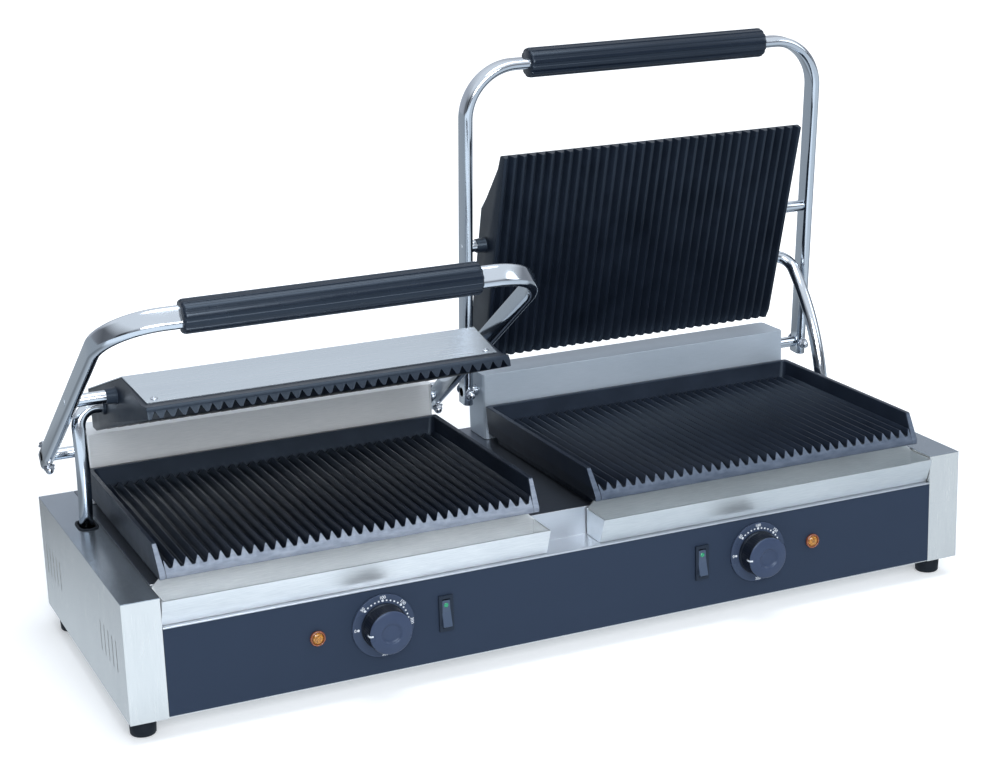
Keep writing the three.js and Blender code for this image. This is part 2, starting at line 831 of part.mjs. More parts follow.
const knobSkirtRise = 3;

function knob(side) {
  const x = side * dialFromCentre;
  const back = dialFace + fitGap;
  const ribbedOutline = Array.from({ length: knobRibCount * 4 }, (_, i) => {
    const angle = (i + 1 / 2) / (knobRibCount * 4) * 2 * Math.PI;
    const radius = i % 4 < 2 ? knobRadius : knobRadius - knobRibDepth;
    return [x + radius * Math.cos(angle), controlZ + radius * Math.sin(angle)];
  });
  const flange = bar(knobRadius + knobRibDepth, [x, -back, controlZ], [x, -back - knobSkirtRise, controlZ],
    dialSides);
  const body = alongY(ribbedOutline, -back - knobLength, -back - knobSkirtRise / 2);
  const dish = turned([
    [0, 0],
    [knobDishRadius - knobDishDepth, 0],
    [knobDishRadius + knobDishDepth, 2 * knobDishDepth],
    [0, 2 * knobDishDepth],
  ], [x, -back - knobLength + knobDishDepth, controlZ], front);
  const spindle = bar(spindleRadius, [x, spindleLength, controlZ], [x, -back - knobSkirtRise, controlZ],
    smallSides);
  return join(cut(join(flange, body), dish), spindle);
}

function thermostat(side) {
  const x = side * dialFromCentre;
  const back = sheet + fitGap;
  const body = block(
    [x - thermostatWidth / 2, back, controlZ - thermostatHeight / 2],
    [x + thermostatWidth / 2, back + thermostatDepth, controlZ + thermostatHeight / 2],
  );
  const bushing = bar(bushingRadius, [x, 0, controlZ], [x, bushingLength, controlZ], smallSides);
  const bore = bar(spindleRadius + runningGap, [x, -overrun, controlZ], [x, spindleLength + fitGap, controlZ],
    smallSides);
  return cut(join(body, bushing), bore);
}

// The lamp's rim and dome, as shares of its radius and of its rise
const lampProfileShares = [[1, 0.3], [0.86, 0.5], [0.8, 0.5], [0.55, 0.9], [0, 1]];

function pilotLamp(side) {
  const x = side * lampFromCentre;
  const profile = [
    [0, -lampBodyLength],
    [lampBodyRadius, -lampBodyLength],
    [lampBodyRadius, fitGap],
    [lampRadius, fitGap],
    ...lampProfileShares.map(([radiusShare, riseShare]) => [lampRadius * radiusShare, lampRise * riseShare]),
  ];
  return turned(profile, [x, 0, controlZ], front, smallSides);
}

function switchBody(side) {
  const x = side * switchFromCentre;
  const halfWidth = switchWidth / 2;
  const halfHeight = switchHeight / 2;
  const bezel = block([x - halfWidth, -fitGap - switchBezel, controlZ - halfHeight],
    [x + halfWidth, -fitGap, controlZ + halfHeight]);
  const body = block(
    [x - halfWidth + switchRim, -fitGap - switchBezel / 2, controlZ - halfHeight + switchRim],
    [x + halfWidth - switchRim, switchBodyDepth, controlZ + halfHeight - switchRim],
  );
  const wall = 2 * switchRim;
  const pocket = block([x - halfWidth + wall, -overrun, controlZ - halfHeight + wall],
    [x + halfWidth - wall, switchBodyDepth - switchRim, controlZ + halfHeight - wall]);
  return cut(join(bezel, body), pocket);
}

// The rocker's side view is a shallow V about its pivot, tipped so that its lower half stands out
const rockerBackShare = 0.7;

function rocker() {
  const halfWidth = switchWidth / 2 - 2 * switchRim - fitGap;
  const reach = switchHeight / 2 - 2 * switchRim - fitGap * 3;
  const depth = switchBodyDepth / 3;
  const view = [
    [-rockerRise - switchBezel / 2, -reach],
    [-rockerRise / 2, 0],
    [-rockerRise - switchBezel / 2, reach],
    [depth / 2, reach * rockerBackShare],
    [depth, 0],
    [depth / 2, -reach * rockerBackShare],
  ];
  return acrossX(view, -halfWidth, halfWidth);
}

lids.forEach(({ name, side }) => {
  addPiece(grill, `dial_${name}`, dial(side), dialPlate);
  addPiece(grill, `knob_${name}`, knob(side), blackPlastic);
  addPiece(grill, `thermostat_${name}`, thermostat(side), zincSteel);
  addPiece(grill, `pilot_lamp_${name}`, pilotLamp(side), amberLens);
  addPiece(grill, `switch_body_${name}`, switchBody(side), blackPlastic);
  const rockerFrame = new THREE.Group();
  rockerFrame.position.set(side * switchFromCentre, 0, controlZ);
  rockerFrame.rotation.x = -rockerTilt;
  grill.add(rockerFrame);
  addPiece(rockerFrame, `rocker_${name}`, rocker(), blackPlastic);
});

// Cable gland in the rear panel and the terminal block on the bottom plate
const glandTipShare = 0.8;

function cableGland() {
  const z = footHeight + glandHeight;
  const outside = housingDepth + fitGap;
  const profile = [
    [glandBore, -glandLength],
    [glandRadius, -glandLength],
    [glandRadius, fitGap],
    [glandCollarRadius, fitGap],
    [glandCollarRadius, glandLength / 3],
    [glandRadius, glandLength / 2],
    [glandRadius * glandTipShare, glandLength],
    [glandBore, glandLength],
    [glandBore, -glandLength],
  ];
  return turned(profile, [glandFromCentre, outside - fitGap, z], unitY);
}

function terminalBlock() {
  const z = footHeight + sheet + fitGap;
  const pitch = terminalWidth / terminalPoles;
  const y0 = housingDepth - sheet - 2 * terminalDepth;
  const base = block([0, y0, z], [terminalWidth, y0 + terminalDepth, z + terminalHeight]);
  const wells = Array.from({ length: terminalPoles }, (_, i) => {
    const x = (i + 1 / 2) * pitch;
    return bar(pitch / 4, [x, y0 + terminalDepth / 2, z + terminalHeight / 2],
      [x, y0 + terminalDepth / 2, z + terminalHeight + overrun], smallSides);
  });
  return cut(base, ...wells);
}

addPiece(grill, 'cable_gland', cableGland(), blackPlastic);
addPiece(grill, 'terminal_block', terminalBlock(), blackPlastic);

// Grommets in the end caps, where the conduits slide down into the housing
function grommet(side) {
  const neck = grommetWall / 2 - fitGap;
  return cut(
    join(
      upZ(grommetOutline(side, grommetWall), deckTop + fitGap, deckTop + grommetFlange),
      upZ(grommetOutline(side, neck), deckTop - sheet - fitGap, deckTop + grommetFlange / 2 + fitGap),
    ),
    upZ(grommetOutline(side, 0), deckTop - overrun, deckTop + overrun),
  );
}

lids.forEach(({ name, side }) => addPiece(grill, `conduit_grommet_${name}`, grommet(side), rubber));

// Lid: in its own frame the axle is the origin and the legs run up Z, with the back of the grill at +Y
const legHalfSpan = bowSpan / 2 + tubeThin / 2;

function handleBow() {
  const start = new THREE.Vector3(-legHalfSpan, 0, -legOverhang);
  const route = new Route(start, unitZ)
    .run(legOverhang + gripDistance - bowBendRadius)
    .bend(unitY, Math.PI / 2, bowBendRadius)
    .run(2 * (legHalfSpan - bowBendRadius))
    .bend(unitY, Math.PI / 2, bowBendRadius)
    .run(legOverhang + gripDistance - bowBendRadius);
  const section = roundedRectangle(-tubeWide / 2, tubeWide / 2, -tubeThin / 2, tubeThin / 2, tubeCorner);
  const across = (radius, z) => bar(radius, [-legHalfSpan - tubeThin, 0, z],
    [legHalfSpan + tubeThin, 0, z], smallSides);
  const boltHoles = [-legHalfSpan, legHalfSpan].map((x) => bar(boltRadius + fitGap,
    [x, -tubeWide, 0], [x, tubeWide, 0], hexSides));
  const axleBore = across(axleRadius + runningGap, 0);
  const spigotBore = across(pinSpigotRadius + runningGap, pinDistance);
  return cut(tube(route, section), axleBore, spigotBore, ...boltHoles);
}

// How deep a flute's round lies in the grip, as a share of its radius
const gripFluteShare = 0.45;

function grip() {
  const half = gripLength / 2;
  const edge = gripRadius / 8;
  const z = gripDistance;
  const profile = [
    [0, -half],
    [gripRadius - edge, -half],
    [gripRadius, -half + edge],
    [gripRadius, half - edge],
    [gripRadius - edge, half],
    [0, half],
  ];
  const body = turned(profile, [0, 0, z], unitX, gripFluteCount * 2);
  const flutes = Array.from({ length: gripFluteCount }, (_, i) => {
    const angle = i / gripFluteCount * 2 * Math.PI;
    const reach = gripRadius + gripFluteRadius * (1 - gripFluteShare);
    const y = reach * Math.cos(angle);
    const dz = reach * Math.sin(angle);
    return bar(gripFluteRadius, [-half - overrun, y, z + dz], [half + overrun, y, z + dz], hexSides);
  });
  const bore = acrossX(roundedRectangle(-tubeWide / 2 - fitGap, tubeWide / 2 + fitGap,
    z - tubeThin / 2 - fitGap, z + tubeThin / 2 + fitGap, tubeCorner), -half - overrun, half + overrun);
  return cut(body, ...flutes, bore);
}

function axle() {
  const end = legHalfSpan + tubeThin / 2;
  const crossHoles = [-legHalfSpan, legHalfSpan].map((x) => bar(boltRadius + fitGap,
    [x, -tubeWide, 0], [x, tubeWide, 0], hexSides));
  return cut(bar(axleRadius, [-end, 0, 0], [end, 0, 0], smallSides), ...crossHoles);
}

// A cross bolt: head at the back of the leg, cap nut at its front
const capNutDomeShare = 0.8;

function axleBolt(x) {
  const face = tubeWide / 2 + fitGap;
  const shank = bar(boltRadius, [x, -face - capNutHeight / 2, 0], [x, face + boltHeadHeight / 2, 0],
    hexSides);
  const head = bar(boltHeadRadius, [x, face, 0], [x, face + boltHeadHeight, 0], hexSides);
  const nut = bar(capNutRadius, [x, -face, 0], [x, -face - capNutHeight, 0], hexSides);
  const domeRadius = capNutRadius * capNutDomeShare;
  const dome = solidOf(new THREE.SphereGeometry(domeRadius, smallSides, hexSides).rotateX(Math.PI / 2))
    .translate(x, -face - capNutHeight, 0);
  return join(shank, head, nut, dome);
}

// A pivot pin runs from a leg to the inside of the upper plate's wall, with a spigot riveted through the leg
function pivotPin(side, end) {
  const legFace = bowSpan / 2 - fitGap;
  const plateFace = upperWidth / 2 - end * side * bowOffset - upperWall - fitGap;
  return join(
    bar(pinRadius, [end * legFace, 0, pinDistance], [end * plateFace, 0, pinDistance], smallSides),
    bar(pinSpigotRadius, [end * (legFace - tubeThin / 2), 0, pinDistance],
      [end * (bowSpan / 2 + tubeThin), 0, pinDistance], smallSides),
  );
}

// Upper plate: in its own frame the pivot axis is X through the origin, and the teeth point down
const upperTipZ = -upperDrop;

function upperSideView() {
  return [
    [upperBack, upperTipZ],
    [upperBack + upperBevel, upperTipZ + upperBevelHeight],
    [upperBack + upperBackLean, upperCreaseHeight - sheet],
    [-upperCrease, upperCreaseHeight],
    [-upperFasciaReach, -upperFasciaTop],
    [-upperFront + upperNoseChamfer / 2, upperTipZ + upperNoseHeight],
    [-upperFront, upperTipZ + upperNoseHeight - upperNoseChamfer],
    [-upperFront, upperTipZ],
  ];
}

function upperSection() {
  const half = upperWidth / 2;
  const top = upperCreaseHeight + overrun;
  const firstGroove = -ribPitch * (ribCount - 1) / 2;
  const grooves = Array.from({ length: ribCount }, (_, i) => {
    const x = firstGroove + i * ribPitch;
    const mouth = (ribPitch - ribValleyFlat) / 2;
    return [[x - mouth, upperTipZ], [x, upperTipZ + ribHeight], [x + mouth, upperTipZ]];
  }).flat();
  return [[-half, top], [-half, upperTipZ], ...grooves, [half, upperTipZ], [half, top]];
}

function upperPlate(side) {
  const half = upperWidth / 2;
  const body = alongY(upperSection(), -upperFront - overrun, upperBack + upperBevel + overrun)
    .intersect(acrossX(upperSideView(), -half - overrun, half + overrun));
  const floor = upperTipZ + ribHeight + upperSlab;
  const slopeShare = (floor + upperFasciaTop) / (upperCreaseHeight + upperFasciaTop);
  const frontInside = -upperFasciaReach + (upperFasciaReach - upperCrease) * slopeShare + upperWall;
  const hollow = acrossX([
    [upperBack + upperBackLean - upperWall, floor],
    [upperBack + upperBackLean - upperWall, upperCreaseHeight + overrun],
    [-upperCrease + upperWall, upperCreaseHeight + overrun],
    [frontInside, floor],
  ], -half + upperWall, half - upperWall);
  const bosses = [-1, 1].map((end) => bar(pinBossRadius, [end * (half - upperWall / 2), 0, 0],
    [end * (half + pinBossLength), 0, 0]));
  const conduitBoss = bar(conduitBossRadius,
    [side * (half - upperWall / 2), conduitBehindPin, -conduitBelowPin],
    [side * (half + conduitBossLength), conduitBehindPin, -conduitBelowPin]);
  const pinBore = bar(pinRadius + runningGap, [-half - 2 * pinBossLength, 0, 0],
    [half + 2 * pinBossLength, 0, 0], smallSides);
  const conduitBore = bar(conduitRadius + runningGap,
    [side * (half - 2 * upperWall), conduitBehindPin, -conduitBelowPin],
    [side * (half + 2 * pinBossLength), conduitBehindPin, -conduitBelowPin], tubeSides);
  return cut(join(cut(body, hollow), ...bosses, conduitBoss), pinBore, conduitBore);
}

// How far the cover's rear flange follows the lean of the plate's back
const topCoverLeanShare = 0.4;

function topCover() {
  const half = upperWidth / 2;
  const flangeFoot = upperBack + upperBackLean + (upperBevel - upperBackLean) * topCoverLeanShare;
  const line = [
    [flangeFoot, upperCreaseHeight - sheet - topCoverFlange],
    [upperBack + upperBackLean, upperCreaseHeight - sheet],
    [-upperCrease, upperCreaseHeight],
    [-upperFasciaReach, -upperFasciaTop],
  ];
  const inner = offsetLine(line, -fitGap);
  const folded = acrossX(foldedSheet(inner, -topCoverSheet), -half, half);
  const corners = [-1, 1].map((end) => upZ([
    [end * half, -upperCrease],
    [end * (half - topCoverTaper), -upperFasciaReach],
    [end * (half - topCoverTaper), -upperFasciaReach - overrun],
    [end * (half + overrun), -upperFasciaReach - overrun],
    [end * (half + overrun), -upperCrease],
  ], upperTipZ, upperCreaseHeight + overrun));
  return cut(folded, ...corners);
}

function upperHeater() {
  const z = upperTipZ + ribHeight + upperSlab + fitGap + heaterRadius;
  const route = heaterRoute([-heaterRunLength / 2, -upperCrease, z], heaterTerminalLength, unitZ);
  return tube(route, ring(heaterRadius, heaterSides));
}

// The conduit in its own frame: it leaves the plate's side, turns down and curves gently to the back
function conduit(side, conduitArc) {
  const startX = upperWidth / 2 - upperWall - 2 * fitGap;
  const route = new Route(new THREE.Vector3(side * startX, 0, 0), new THREE.Vector3(side, 0, 0))
    .run(conduitX - conduitElbowRadius - startX)
    .bend(new THREE.Vector3(0, side, 0), Math.PI / 2, conduitElbowRadius)
    .bend(unitX, conduitArc, conduitCurveRadius, curveSteps);
  return tube(route, ring(conduitRadius, tubeSides));
}

// A point in the YZ plane turned about the origin and moved
function carried([y, z], angle, [y0, z0]) {
  return [
    y0 + y * Math.cos(angle) - z * Math.sin(angle),
    z0 + y * Math.sin(angle) + z * Math.cos(angle),
  ];
}

// The conduit's turn about its seat that takes it through the grommet, and how far it has curved by then
function conduitFit(seat) {
  const reach = Math.hypot(conduitRestFromFront - seat[0], deckTop - seat[1]);
  const centreDistance = Math.hypot(conduitCurveRadius, conduitElbowRadius);
  const centreAngle = Math.atan2(-conduitElbowRadius, conduitCurveRadius);
  const between = Math.acos(
    (reach ** 2 + centreDistance ** 2 - conduitCurveRadius ** 2) / (2 * reach * centreDistance),
  );
  const ownAngle = centreAngle - between;
  const fromCentreY = reach * Math.cos(ownAngle) - conduitCurveRadius;
  const fromCentreZ = reach * Math.sin(ownAngle) + conduitElbowRadius;
  return {
    tubeTurn: Math.atan2(deckTop - seat[1], conduitRestFromFront - seat[0]) - ownAngle,
    arcToDeck: Math.atan2(-fromCentreZ, -fromCentreY),
  };
}

function frameAt(x, [y, z], turn) {
  const frame = new THREE.Group();
  frame.position.set(x, y, z);
  frame.rotation.x = turn;
  grill.add(frame);
  return frame;
}

lids.forEach(({ name, side, opening, plateTiltShare, conduitTail }) => {
  const lidTurn = Math.PI / 2 - closedRise - opening;
  const axlePlace = [axleFromFront, axleZ];
  const pinPlace = carried([0, pinDistance], lidTurn, axlePlace);
  const plateTurn = -opening * plateTiltShare;
  const seat = carried([conduitBehindPin, -conduitBelowPin], plateTurn, pinPlace);
  const { tubeTurn, arcToDeck } = conduitFit(seat);
  const conduitArc = arcToDeck + conduitTail / conduitCurveRadius;
  const lidFrame = frameAt(side * (plateSpacing / 2 + bowOffset), axlePlace, lidTurn);
  const plateFrame = frameAt(side * plateSpacing / 2, pinPlace, plateTurn);
  const conduitFrame = frameAt(side * plateSpacing / 2, seat, tubeTurn);

  addPiece(lidFrame, `axle_${name}`, axle(), chrome);
  addPiece(lidFrame, `handle_bow_${name}`, handleBow(), chrome);
  addPiece(lidFrame, `grip_${name}`, grip(), gripPlastic);
  [['outer', side], ['inner', -side]].forEach(([place, end]) => {
    addPiece(lidFrame, `axle_bolt_${name}_${place}`, axleBolt(end * legHalfSpan), zincSteel);
    addPiece(lidFrame, `pivot_pin_${name}_${place}`, pivotPin(side, end), chrome);
  });
  addPiece(plateFrame, `upper_plate_${name}`, upperPlate(side), castIron);
  addPiece(plateFrame, `top_cover_${name}`, topCover(), brushedSteel);
  addPiece(plateFrame, `upper_heater_${name}`, upperHeater(), elementSteel);
  addPiece(conduitFrame, `conduit_${name}`, conduit(side, conduitArc), chrome);
});

// The origin is the middle of the bounding box's underside
grill.updateMatrixWorld(true);
const bounds = new THREE.Box3().setFromObject(grill);
grill.position.y = -(bounds.min.y + bounds.max.y) / 2;

export default grill;
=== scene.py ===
import bpy
from math import acos, asin, atan2, cos, hypot, pi, radians, sin, tan
from mathutils import Matrix, Vector

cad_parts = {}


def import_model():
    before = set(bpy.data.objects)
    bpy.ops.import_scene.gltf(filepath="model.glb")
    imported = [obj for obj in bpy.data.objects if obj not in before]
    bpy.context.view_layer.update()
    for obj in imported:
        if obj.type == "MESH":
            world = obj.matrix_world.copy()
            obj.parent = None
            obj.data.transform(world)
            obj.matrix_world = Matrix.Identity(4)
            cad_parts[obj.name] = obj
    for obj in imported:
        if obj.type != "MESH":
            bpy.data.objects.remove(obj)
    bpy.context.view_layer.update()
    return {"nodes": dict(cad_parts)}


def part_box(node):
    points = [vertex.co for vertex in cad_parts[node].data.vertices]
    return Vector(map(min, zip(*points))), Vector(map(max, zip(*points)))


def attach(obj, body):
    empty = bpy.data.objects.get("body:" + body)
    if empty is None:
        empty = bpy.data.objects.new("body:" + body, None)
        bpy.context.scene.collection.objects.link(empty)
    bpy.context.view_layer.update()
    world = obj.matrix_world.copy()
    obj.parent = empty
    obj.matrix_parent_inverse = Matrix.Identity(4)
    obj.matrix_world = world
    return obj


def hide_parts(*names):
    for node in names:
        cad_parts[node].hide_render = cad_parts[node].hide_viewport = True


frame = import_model()
NODES = frame["nodes"]
scene = bpy.context.scene

# Sizes in millimetres, as in the part's source. The front panel's face is the zero of Y.
MM = 0.001
ORIGIN = (0, 0, 0)
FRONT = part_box("side_cover_left")[0][1] / MM
HOUSING_WIDTH = 820.0
FOOT_HEIGHT = 19.5
DECK_TOP = 126.5
PLATE_SPACING = 400.0

# Handle bows. Distances run from the axle along a leg.
AXLE_Y = 280.0
AXLE_Z = 173.5
AXLE_RADIUS = 5.5
PIN_DISTANCE = 150.0
PIN_RADIUS = 5.75
GRIP_DISTANCE = 326.0
GRIP_LENGTH = 259.0
GRIP_RADIUS = 14.35
BOW_OFFSET = 10.5
LEG_HALF_SPAN = 193.5
LEG_OVERHANG = 12.0
TUBE_WIDE = 20.0
TUBE_THIN = 10.0
BEND_RADIUS = 50.0

# Plates. Heights of the lower ones run from the deck, those of the upper ones from their pins.
RIB_COUNT = 33
RIB_HEIGHT = 6.0
RIB_PITCH = 333.0 / 34
LOWER_WIDTH = 347.0
LOWER_FRONT = 15.0
LOWER_BACK = 255.0
LOWER_TIP = 23.5
LOWER_RIM = 36.7
LOWER_BAND = 13.4
LOWER_UNDER = 9.0
FRONT_SLOPE = tan(radians(33.0))
RIM_TOP_WALL = 4.5
RIM_FOOT_WALL = 7.0
RIM_DRAFT = 1.2
RIM_CORNER = 2.5
RIM_FILLET = 4.0
UPPER_WIDTH = 327.0
UPPER_WALL = 5.0
UPPER_DROP = 27.0
UPPER_TIP = -UPPER_DROP
UPPER_FRONT = 105.0
UPPER_BACK = 104.0
CLOSED_GAP = 0.6

# Conduits, and the place of their seat on the upper plate as (y, z) from the pins
CONDUIT_RADIUS = 6.25
CONDUIT_X = 188.5
CONDUIT_ELBOW = 17.0
CONDUIT_CURVE = 200.0
CONDUIT_REST = 207.0
SEAT = (54.0, -6.0)

# Controls
CONTROL_Z = 65.0
SWITCH_X = 127.0
DIAL_X = 185.5
LAMP_X = 245.0

# The outer leg of a bow lies on its lid's own side of the grill, the inner leg on the other.
LEGS = {"outer": 1, "inner": -1}

# For each lid: its side, its opening in the photo, the share of it that the plate follows and the
# length of its conduit's long curve
CLOSED_RISE = asin((DECK_TOP + LOWER_TIP + CLOSED_GAP + UPPER_DROP - AXLE_Z) / PIN_DISTANCE)
LIDS = {
    "left": {"side": -1, "opening": radians(32.4), "share": 0.54, "conduit": 175.088},
    "right": {"side": 1, "opening": radians(83.7), "share": 0.877, "conduit": 155.040},
}


def at(x, y, z):
    """A point given in the part's millimetres, in the shared frame in metres."""
    return Vector((x, y + FRONT, z)) * MM


def turned_frame(x, y, z, angle):
    return Matrix.Translation(at(x, y, z)) @ Matrix.Rotation(angle, 4, "X")


def carried(y, z, angle):
    """A point of the side view, turned about the origin."""
    return y * cos(angle) - z * sin(angle), y * sin(angle) + z * cos(angle)


def conduit_turn(seat_y, seat_z):
    """The conduit's turn in its seat that brings its long curve to the slot in the deck."""
    reach = hypot(CONDUIT_REST - seat_y, DECK_TOP - seat_z)
    centre_distance = hypot(CONDUIT_CURVE, CONDUIT_ELBOW)
    centre_angle = atan2(-CONDUIT_ELBOW, CONDUIT_CURVE)
    between = acos(
        (reach ** 2 + centre_distance ** 2 - CONDUIT_CURVE ** 2) / (2 * reach * centre_distance))
    return atan2(DECK_TOP - seat_z, CONDUIT_REST - seat_y) - (centre_angle - between)


for name, lid in LIDS.items():
    lid_turn = pi / 2 - CLOSED_RISE - lid["opening"]
    pin_y, pin_z = carried(0, PIN_DISTANCE, lid_turn)
    pin_y += AXLE_Y
    pin_z += AXLE_Z
    plate_turn = -lid["opening"] * lid["share"]
    seat_y, seat_z = carried(*SEAT, plate_turn)
    seat_y += pin_y
    seat_z += pin_z
    centre = lid["side"] * PLATE_SPACING / 2
    bow_x = centre + lid["side"] * BOW_OFFSET
    tube_turn = conduit_turn(seat_y, seat_z)
    lid["on_bow"] = (f"lid_{name}", turned_frame(bow_x, AXLE_Y, AXLE_Z, lid_turn))
    lid["on_plate"] = (f"plate_{name}", turned_frame(centre, pin_y, pin_z, plate_turn))
    lid["on_conduit"] = (f"conduit_{name}", turned_frame(centre, seat_y, seat_z, tube_turn))


def placed(name, data):
    thing = bpy.data.objects.new(name, data)
    scene.collection.objects.link(thing)
    return thing


# Mesh building. A shape is a list of vertices in millimetres with a list of faces.
def new_mesh(name, shape, finish, body, matrix=Matrix.Identity(4), smooth=True, replaces=(),
             slot=None):
    verts, faces = shape
    mesh = bpy.data.meshes.new(name)
    mesh.from_pydata([tuple(matrix @ (Vector(v) * MM)) for v in verts], [], faces)
    mesh.validate()
    mesh.update()
    for polygon in mesh.polygons:
        polygon.use_smooth = smooth
    mesh.materials.append(finish.material)
    piece = placed(name, mesh)
    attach(piece, body)
    if replaces:
        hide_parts(*replaces)
    return piece


def soften(piece, width, segments=2):
    bevel = piece.modifiers.new("edges", "BEVEL")
    bevel.width = width * MM
    bevel.segments = segments
    bevel.limit_method = "ANGLE"
    bevel.angle_limit = radians(30.0)


def turned_over(faces):
    return [tuple(reversed(face)) for face in faces]


def grid_faces(rings, count, closed_ends=True):
    """The faces between rings of that many vertices, and those that close the ends."""
    faces = []
    for low in range(0, (rings - 1) * count, count):
        high = low + count
        for i in range(count):
            j = (i + 1) % count
            faces.append((low + i, low + j, high + j, high + i))
    if closed_ends:
        faces.append(tuple(reversed(range(count))))
        faces.append(tuple((rings - 1) * count + i for i in range(count)))
    return faces


def arc(steps, span=pi / 2, start=0.0):
    """Evenly spaced angles over an arc, both ends included."""
    return [start + i / steps * span for i in range(steps + 1)]


def circle(sides):
    return [i / sides * 2 * pi for i in range(sides)]


def lathe(profile, axis, origin, sides, closed_ends=True):
    """A profile of (radius, height) turned about an axis from an origin."""
    axis = Vector(axis).normalized()
    side = axis.orthogonal().normalized()
    other = axis.cross(side)
    verts = []
    for radius, height in profile:
        for angle in circle(sides):
            radial = side * cos(angle) + other * sin(angle)
            verts.append(Vector(origin) + radial * max(radius, 0.001) + axis * height)
    return verts, grid_faces(len(profile), sides, closed_ends)


def rounded_profile(radius, start, end, round_start, round_end):
    """A cylinder's profile with rounded ends, closed on its axis."""
    points = [(0, start)]
    for a in arc(4):
        points.append((radius - round_start * (1 - sin(a)), start + round_start * (1 - cos(a))))
    for a in arc(4):
        points.append((radius - round_end * (1 - cos(a)), end - round_end * (1 - sin(a))))
    points.append((0, end))
    return points


def sweep(path, section, side=None):
    """A tube along a path. With a side vector the section stays square, else it rolls."""
    verts = []
    reference = Vector(side) if side else path.tangents[0].orthogonal()
    for point, tangent in zip(path.points, path.tangents):
        across = (reference - tangent * reference.dot(tangent)).normalized()
        reference = across if side is None else reference
        normal = tangent.cross(across)
        for a, b in section:
            verts.append(point + across * a + normal * b)
    return verts, grid_faces(len(path.points), len(section))


def merged(*parts):
    verts, faces = [], []
    for part_verts, part_faces in parts:
        offset = len(verts)
        verts.extend(part_verts)
        faces.extend(tuple(i + offset for i in face) for face in part_faces)
    return verts, faces


def stadium(wide, thin):
    """A flat-oval section: two half circles joined by straight sides."""
    radius = thin / 2
    half = wide / 2 - radius
    points = []
    for middle, start in ((half, -pi / 2), (-half, pi / 2)):
        for angle in arc(10, pi, start):
            points.append((middle + radius * cos(angle), radius * sin(angle)))
    return points


def ring(radius):
    return [(radius * cos(angle), radius * sin(angle)) for angle in circle(32)]


class Path:
    """Straight runs and bends, as in the part's source, with finer steps."""

    def __init__(self, start, heading):
        self.points = [Vector(start)]
        self.tangents = [Vector(heading).normalized()]

    def run(self, length, steps):
        start = self.points[-1]
        heading = self.tangents[-1]
        for i in range(1, steps + 1):
            self.points.append(start + heading * length * i / steps)
            self.tangents.append(heading)

    def bend(self, axis, angle, radius, steps):
        axis = Vector(axis)
        start = self.points[-1]
        heading = self.tangents[-1]
        middle = start + axis.cross(heading) * radius
        for i in range(1, steps + 1):
            turn = Matrix.Rotation(angle * i / steps, 3, axis)
            self.points.append(middle + turn @ (start - middle))
            self.tangents.append(turn @ heading)


# Materials. The colour sockets of a mixing node share their names with its number sockets, so
# they are taken by their place.
COLOUR_FACTOR, COLOUR_FIRST, COLOUR_SECOND, COLOUR_RESULT = 0, 6, 7, 2


def linear(value):
    share = value / 255
    return share / 12.92 if value <= 10.3 else ((share + 0.055) / 1.055) ** 2.4


def srgb(*values):
    """A colour in steps from 0 to 255, as the linear values that a shader takes."""
    return tuple(linear(value) for value in values) + (1.0,)


def scaled(colour, factor):
    return tuple(min(1.0, c * factor) for c in colour[:3]) + (1.0,)


class Graph:
    """The nodes of a material or a world. An input takes a value or another node's output."""

    def __init__(self, tree):
        self.tree = tree

    def add(self, kind, inputs=None, **settings):
        node = self.tree.nodes.new("ShaderNode" + kind)
        for setting, value in settings.items():
            setattr(node, setting, value)
        self.feed(node, inputs or {})
        return node

    def feed(self, node, inputs):
        for socket, value in inputs.items():
            if isinstance(value, bpy.types.NodeSocket):
                self.tree.links.new(value, node.inputs[socket])
            else:
                node.inputs[socket].default_value = value

    def ramp(self, value, stops):
        node = self.add("ValToRGB", {"Fac": value})
        elements = node.color_ramp.elements
        while len(elements) < len(stops):
            elements.new(0.5)
        for element, (position, colour) in zip(elements, stops):
            element.position = position
            element.color = colour
        return node.outputs["Color"]

    def mapped(self, value, source, result=(0.0, 1.0), curve="LINEAR"):
        """The value taken from one pair of numbers to another, and held beyond them."""
        inputs = {"Value": value, "From Min": source[0], "From Max": source[1],
                  "To Min": result[0], "To Max": result[1]}
        return self.add("MapRange", inputs, interpolation_type=curve).outputs["Result"]

    def maths(self, operation, first, second):
        return self.add("Math", {0: first, 1: second}, operation=operation).outputs["Value"]

    def parts(self, vector):
        return self.add("SeparateXYZ", {"Vector": vector}).outputs

    def between(self, factor, first, second):
        """A number between two others."""
        inputs = {"Factor": factor, "A": first, "B": second}
        return self.add("Mix", inputs).outputs["Result"]

    def tinted(self, factor, first, second, kind="MIX"):
        """A colour between two others, or the first multiplied by the second."""
        inputs = {COLOUR_FACTOR: factor, COLOUR_FIRST: first, COLOUR_SECOND: second}
        mix = self.add("Mix", inputs, data_type="RGBA", blend_type=kind)
        return mix.outputs[COLOUR_RESULT]

    def bump(self, height, strength, distance):
        inputs = {"Strength": strength, "Distance": distance, "Height": height}
        return self.add("Bump", inputs).outputs["Normal"]

    def ray(self, kind):
        return self.add("LightPath").outputs[kind]

    def seen(self):
        """One for a camera or transmission ray, else nought."""
        return self.maths("MAXIMUM", self.ray("Is Camera Ray"), self.ray("Is Transmission Ray"))

    def chosen(self, factor, first, second):
        """The second shader where the factor is one, else the first."""
        return self.add("MixShader", {"Fac": factor, 1: first, 2: second}).outputs["Shader"]


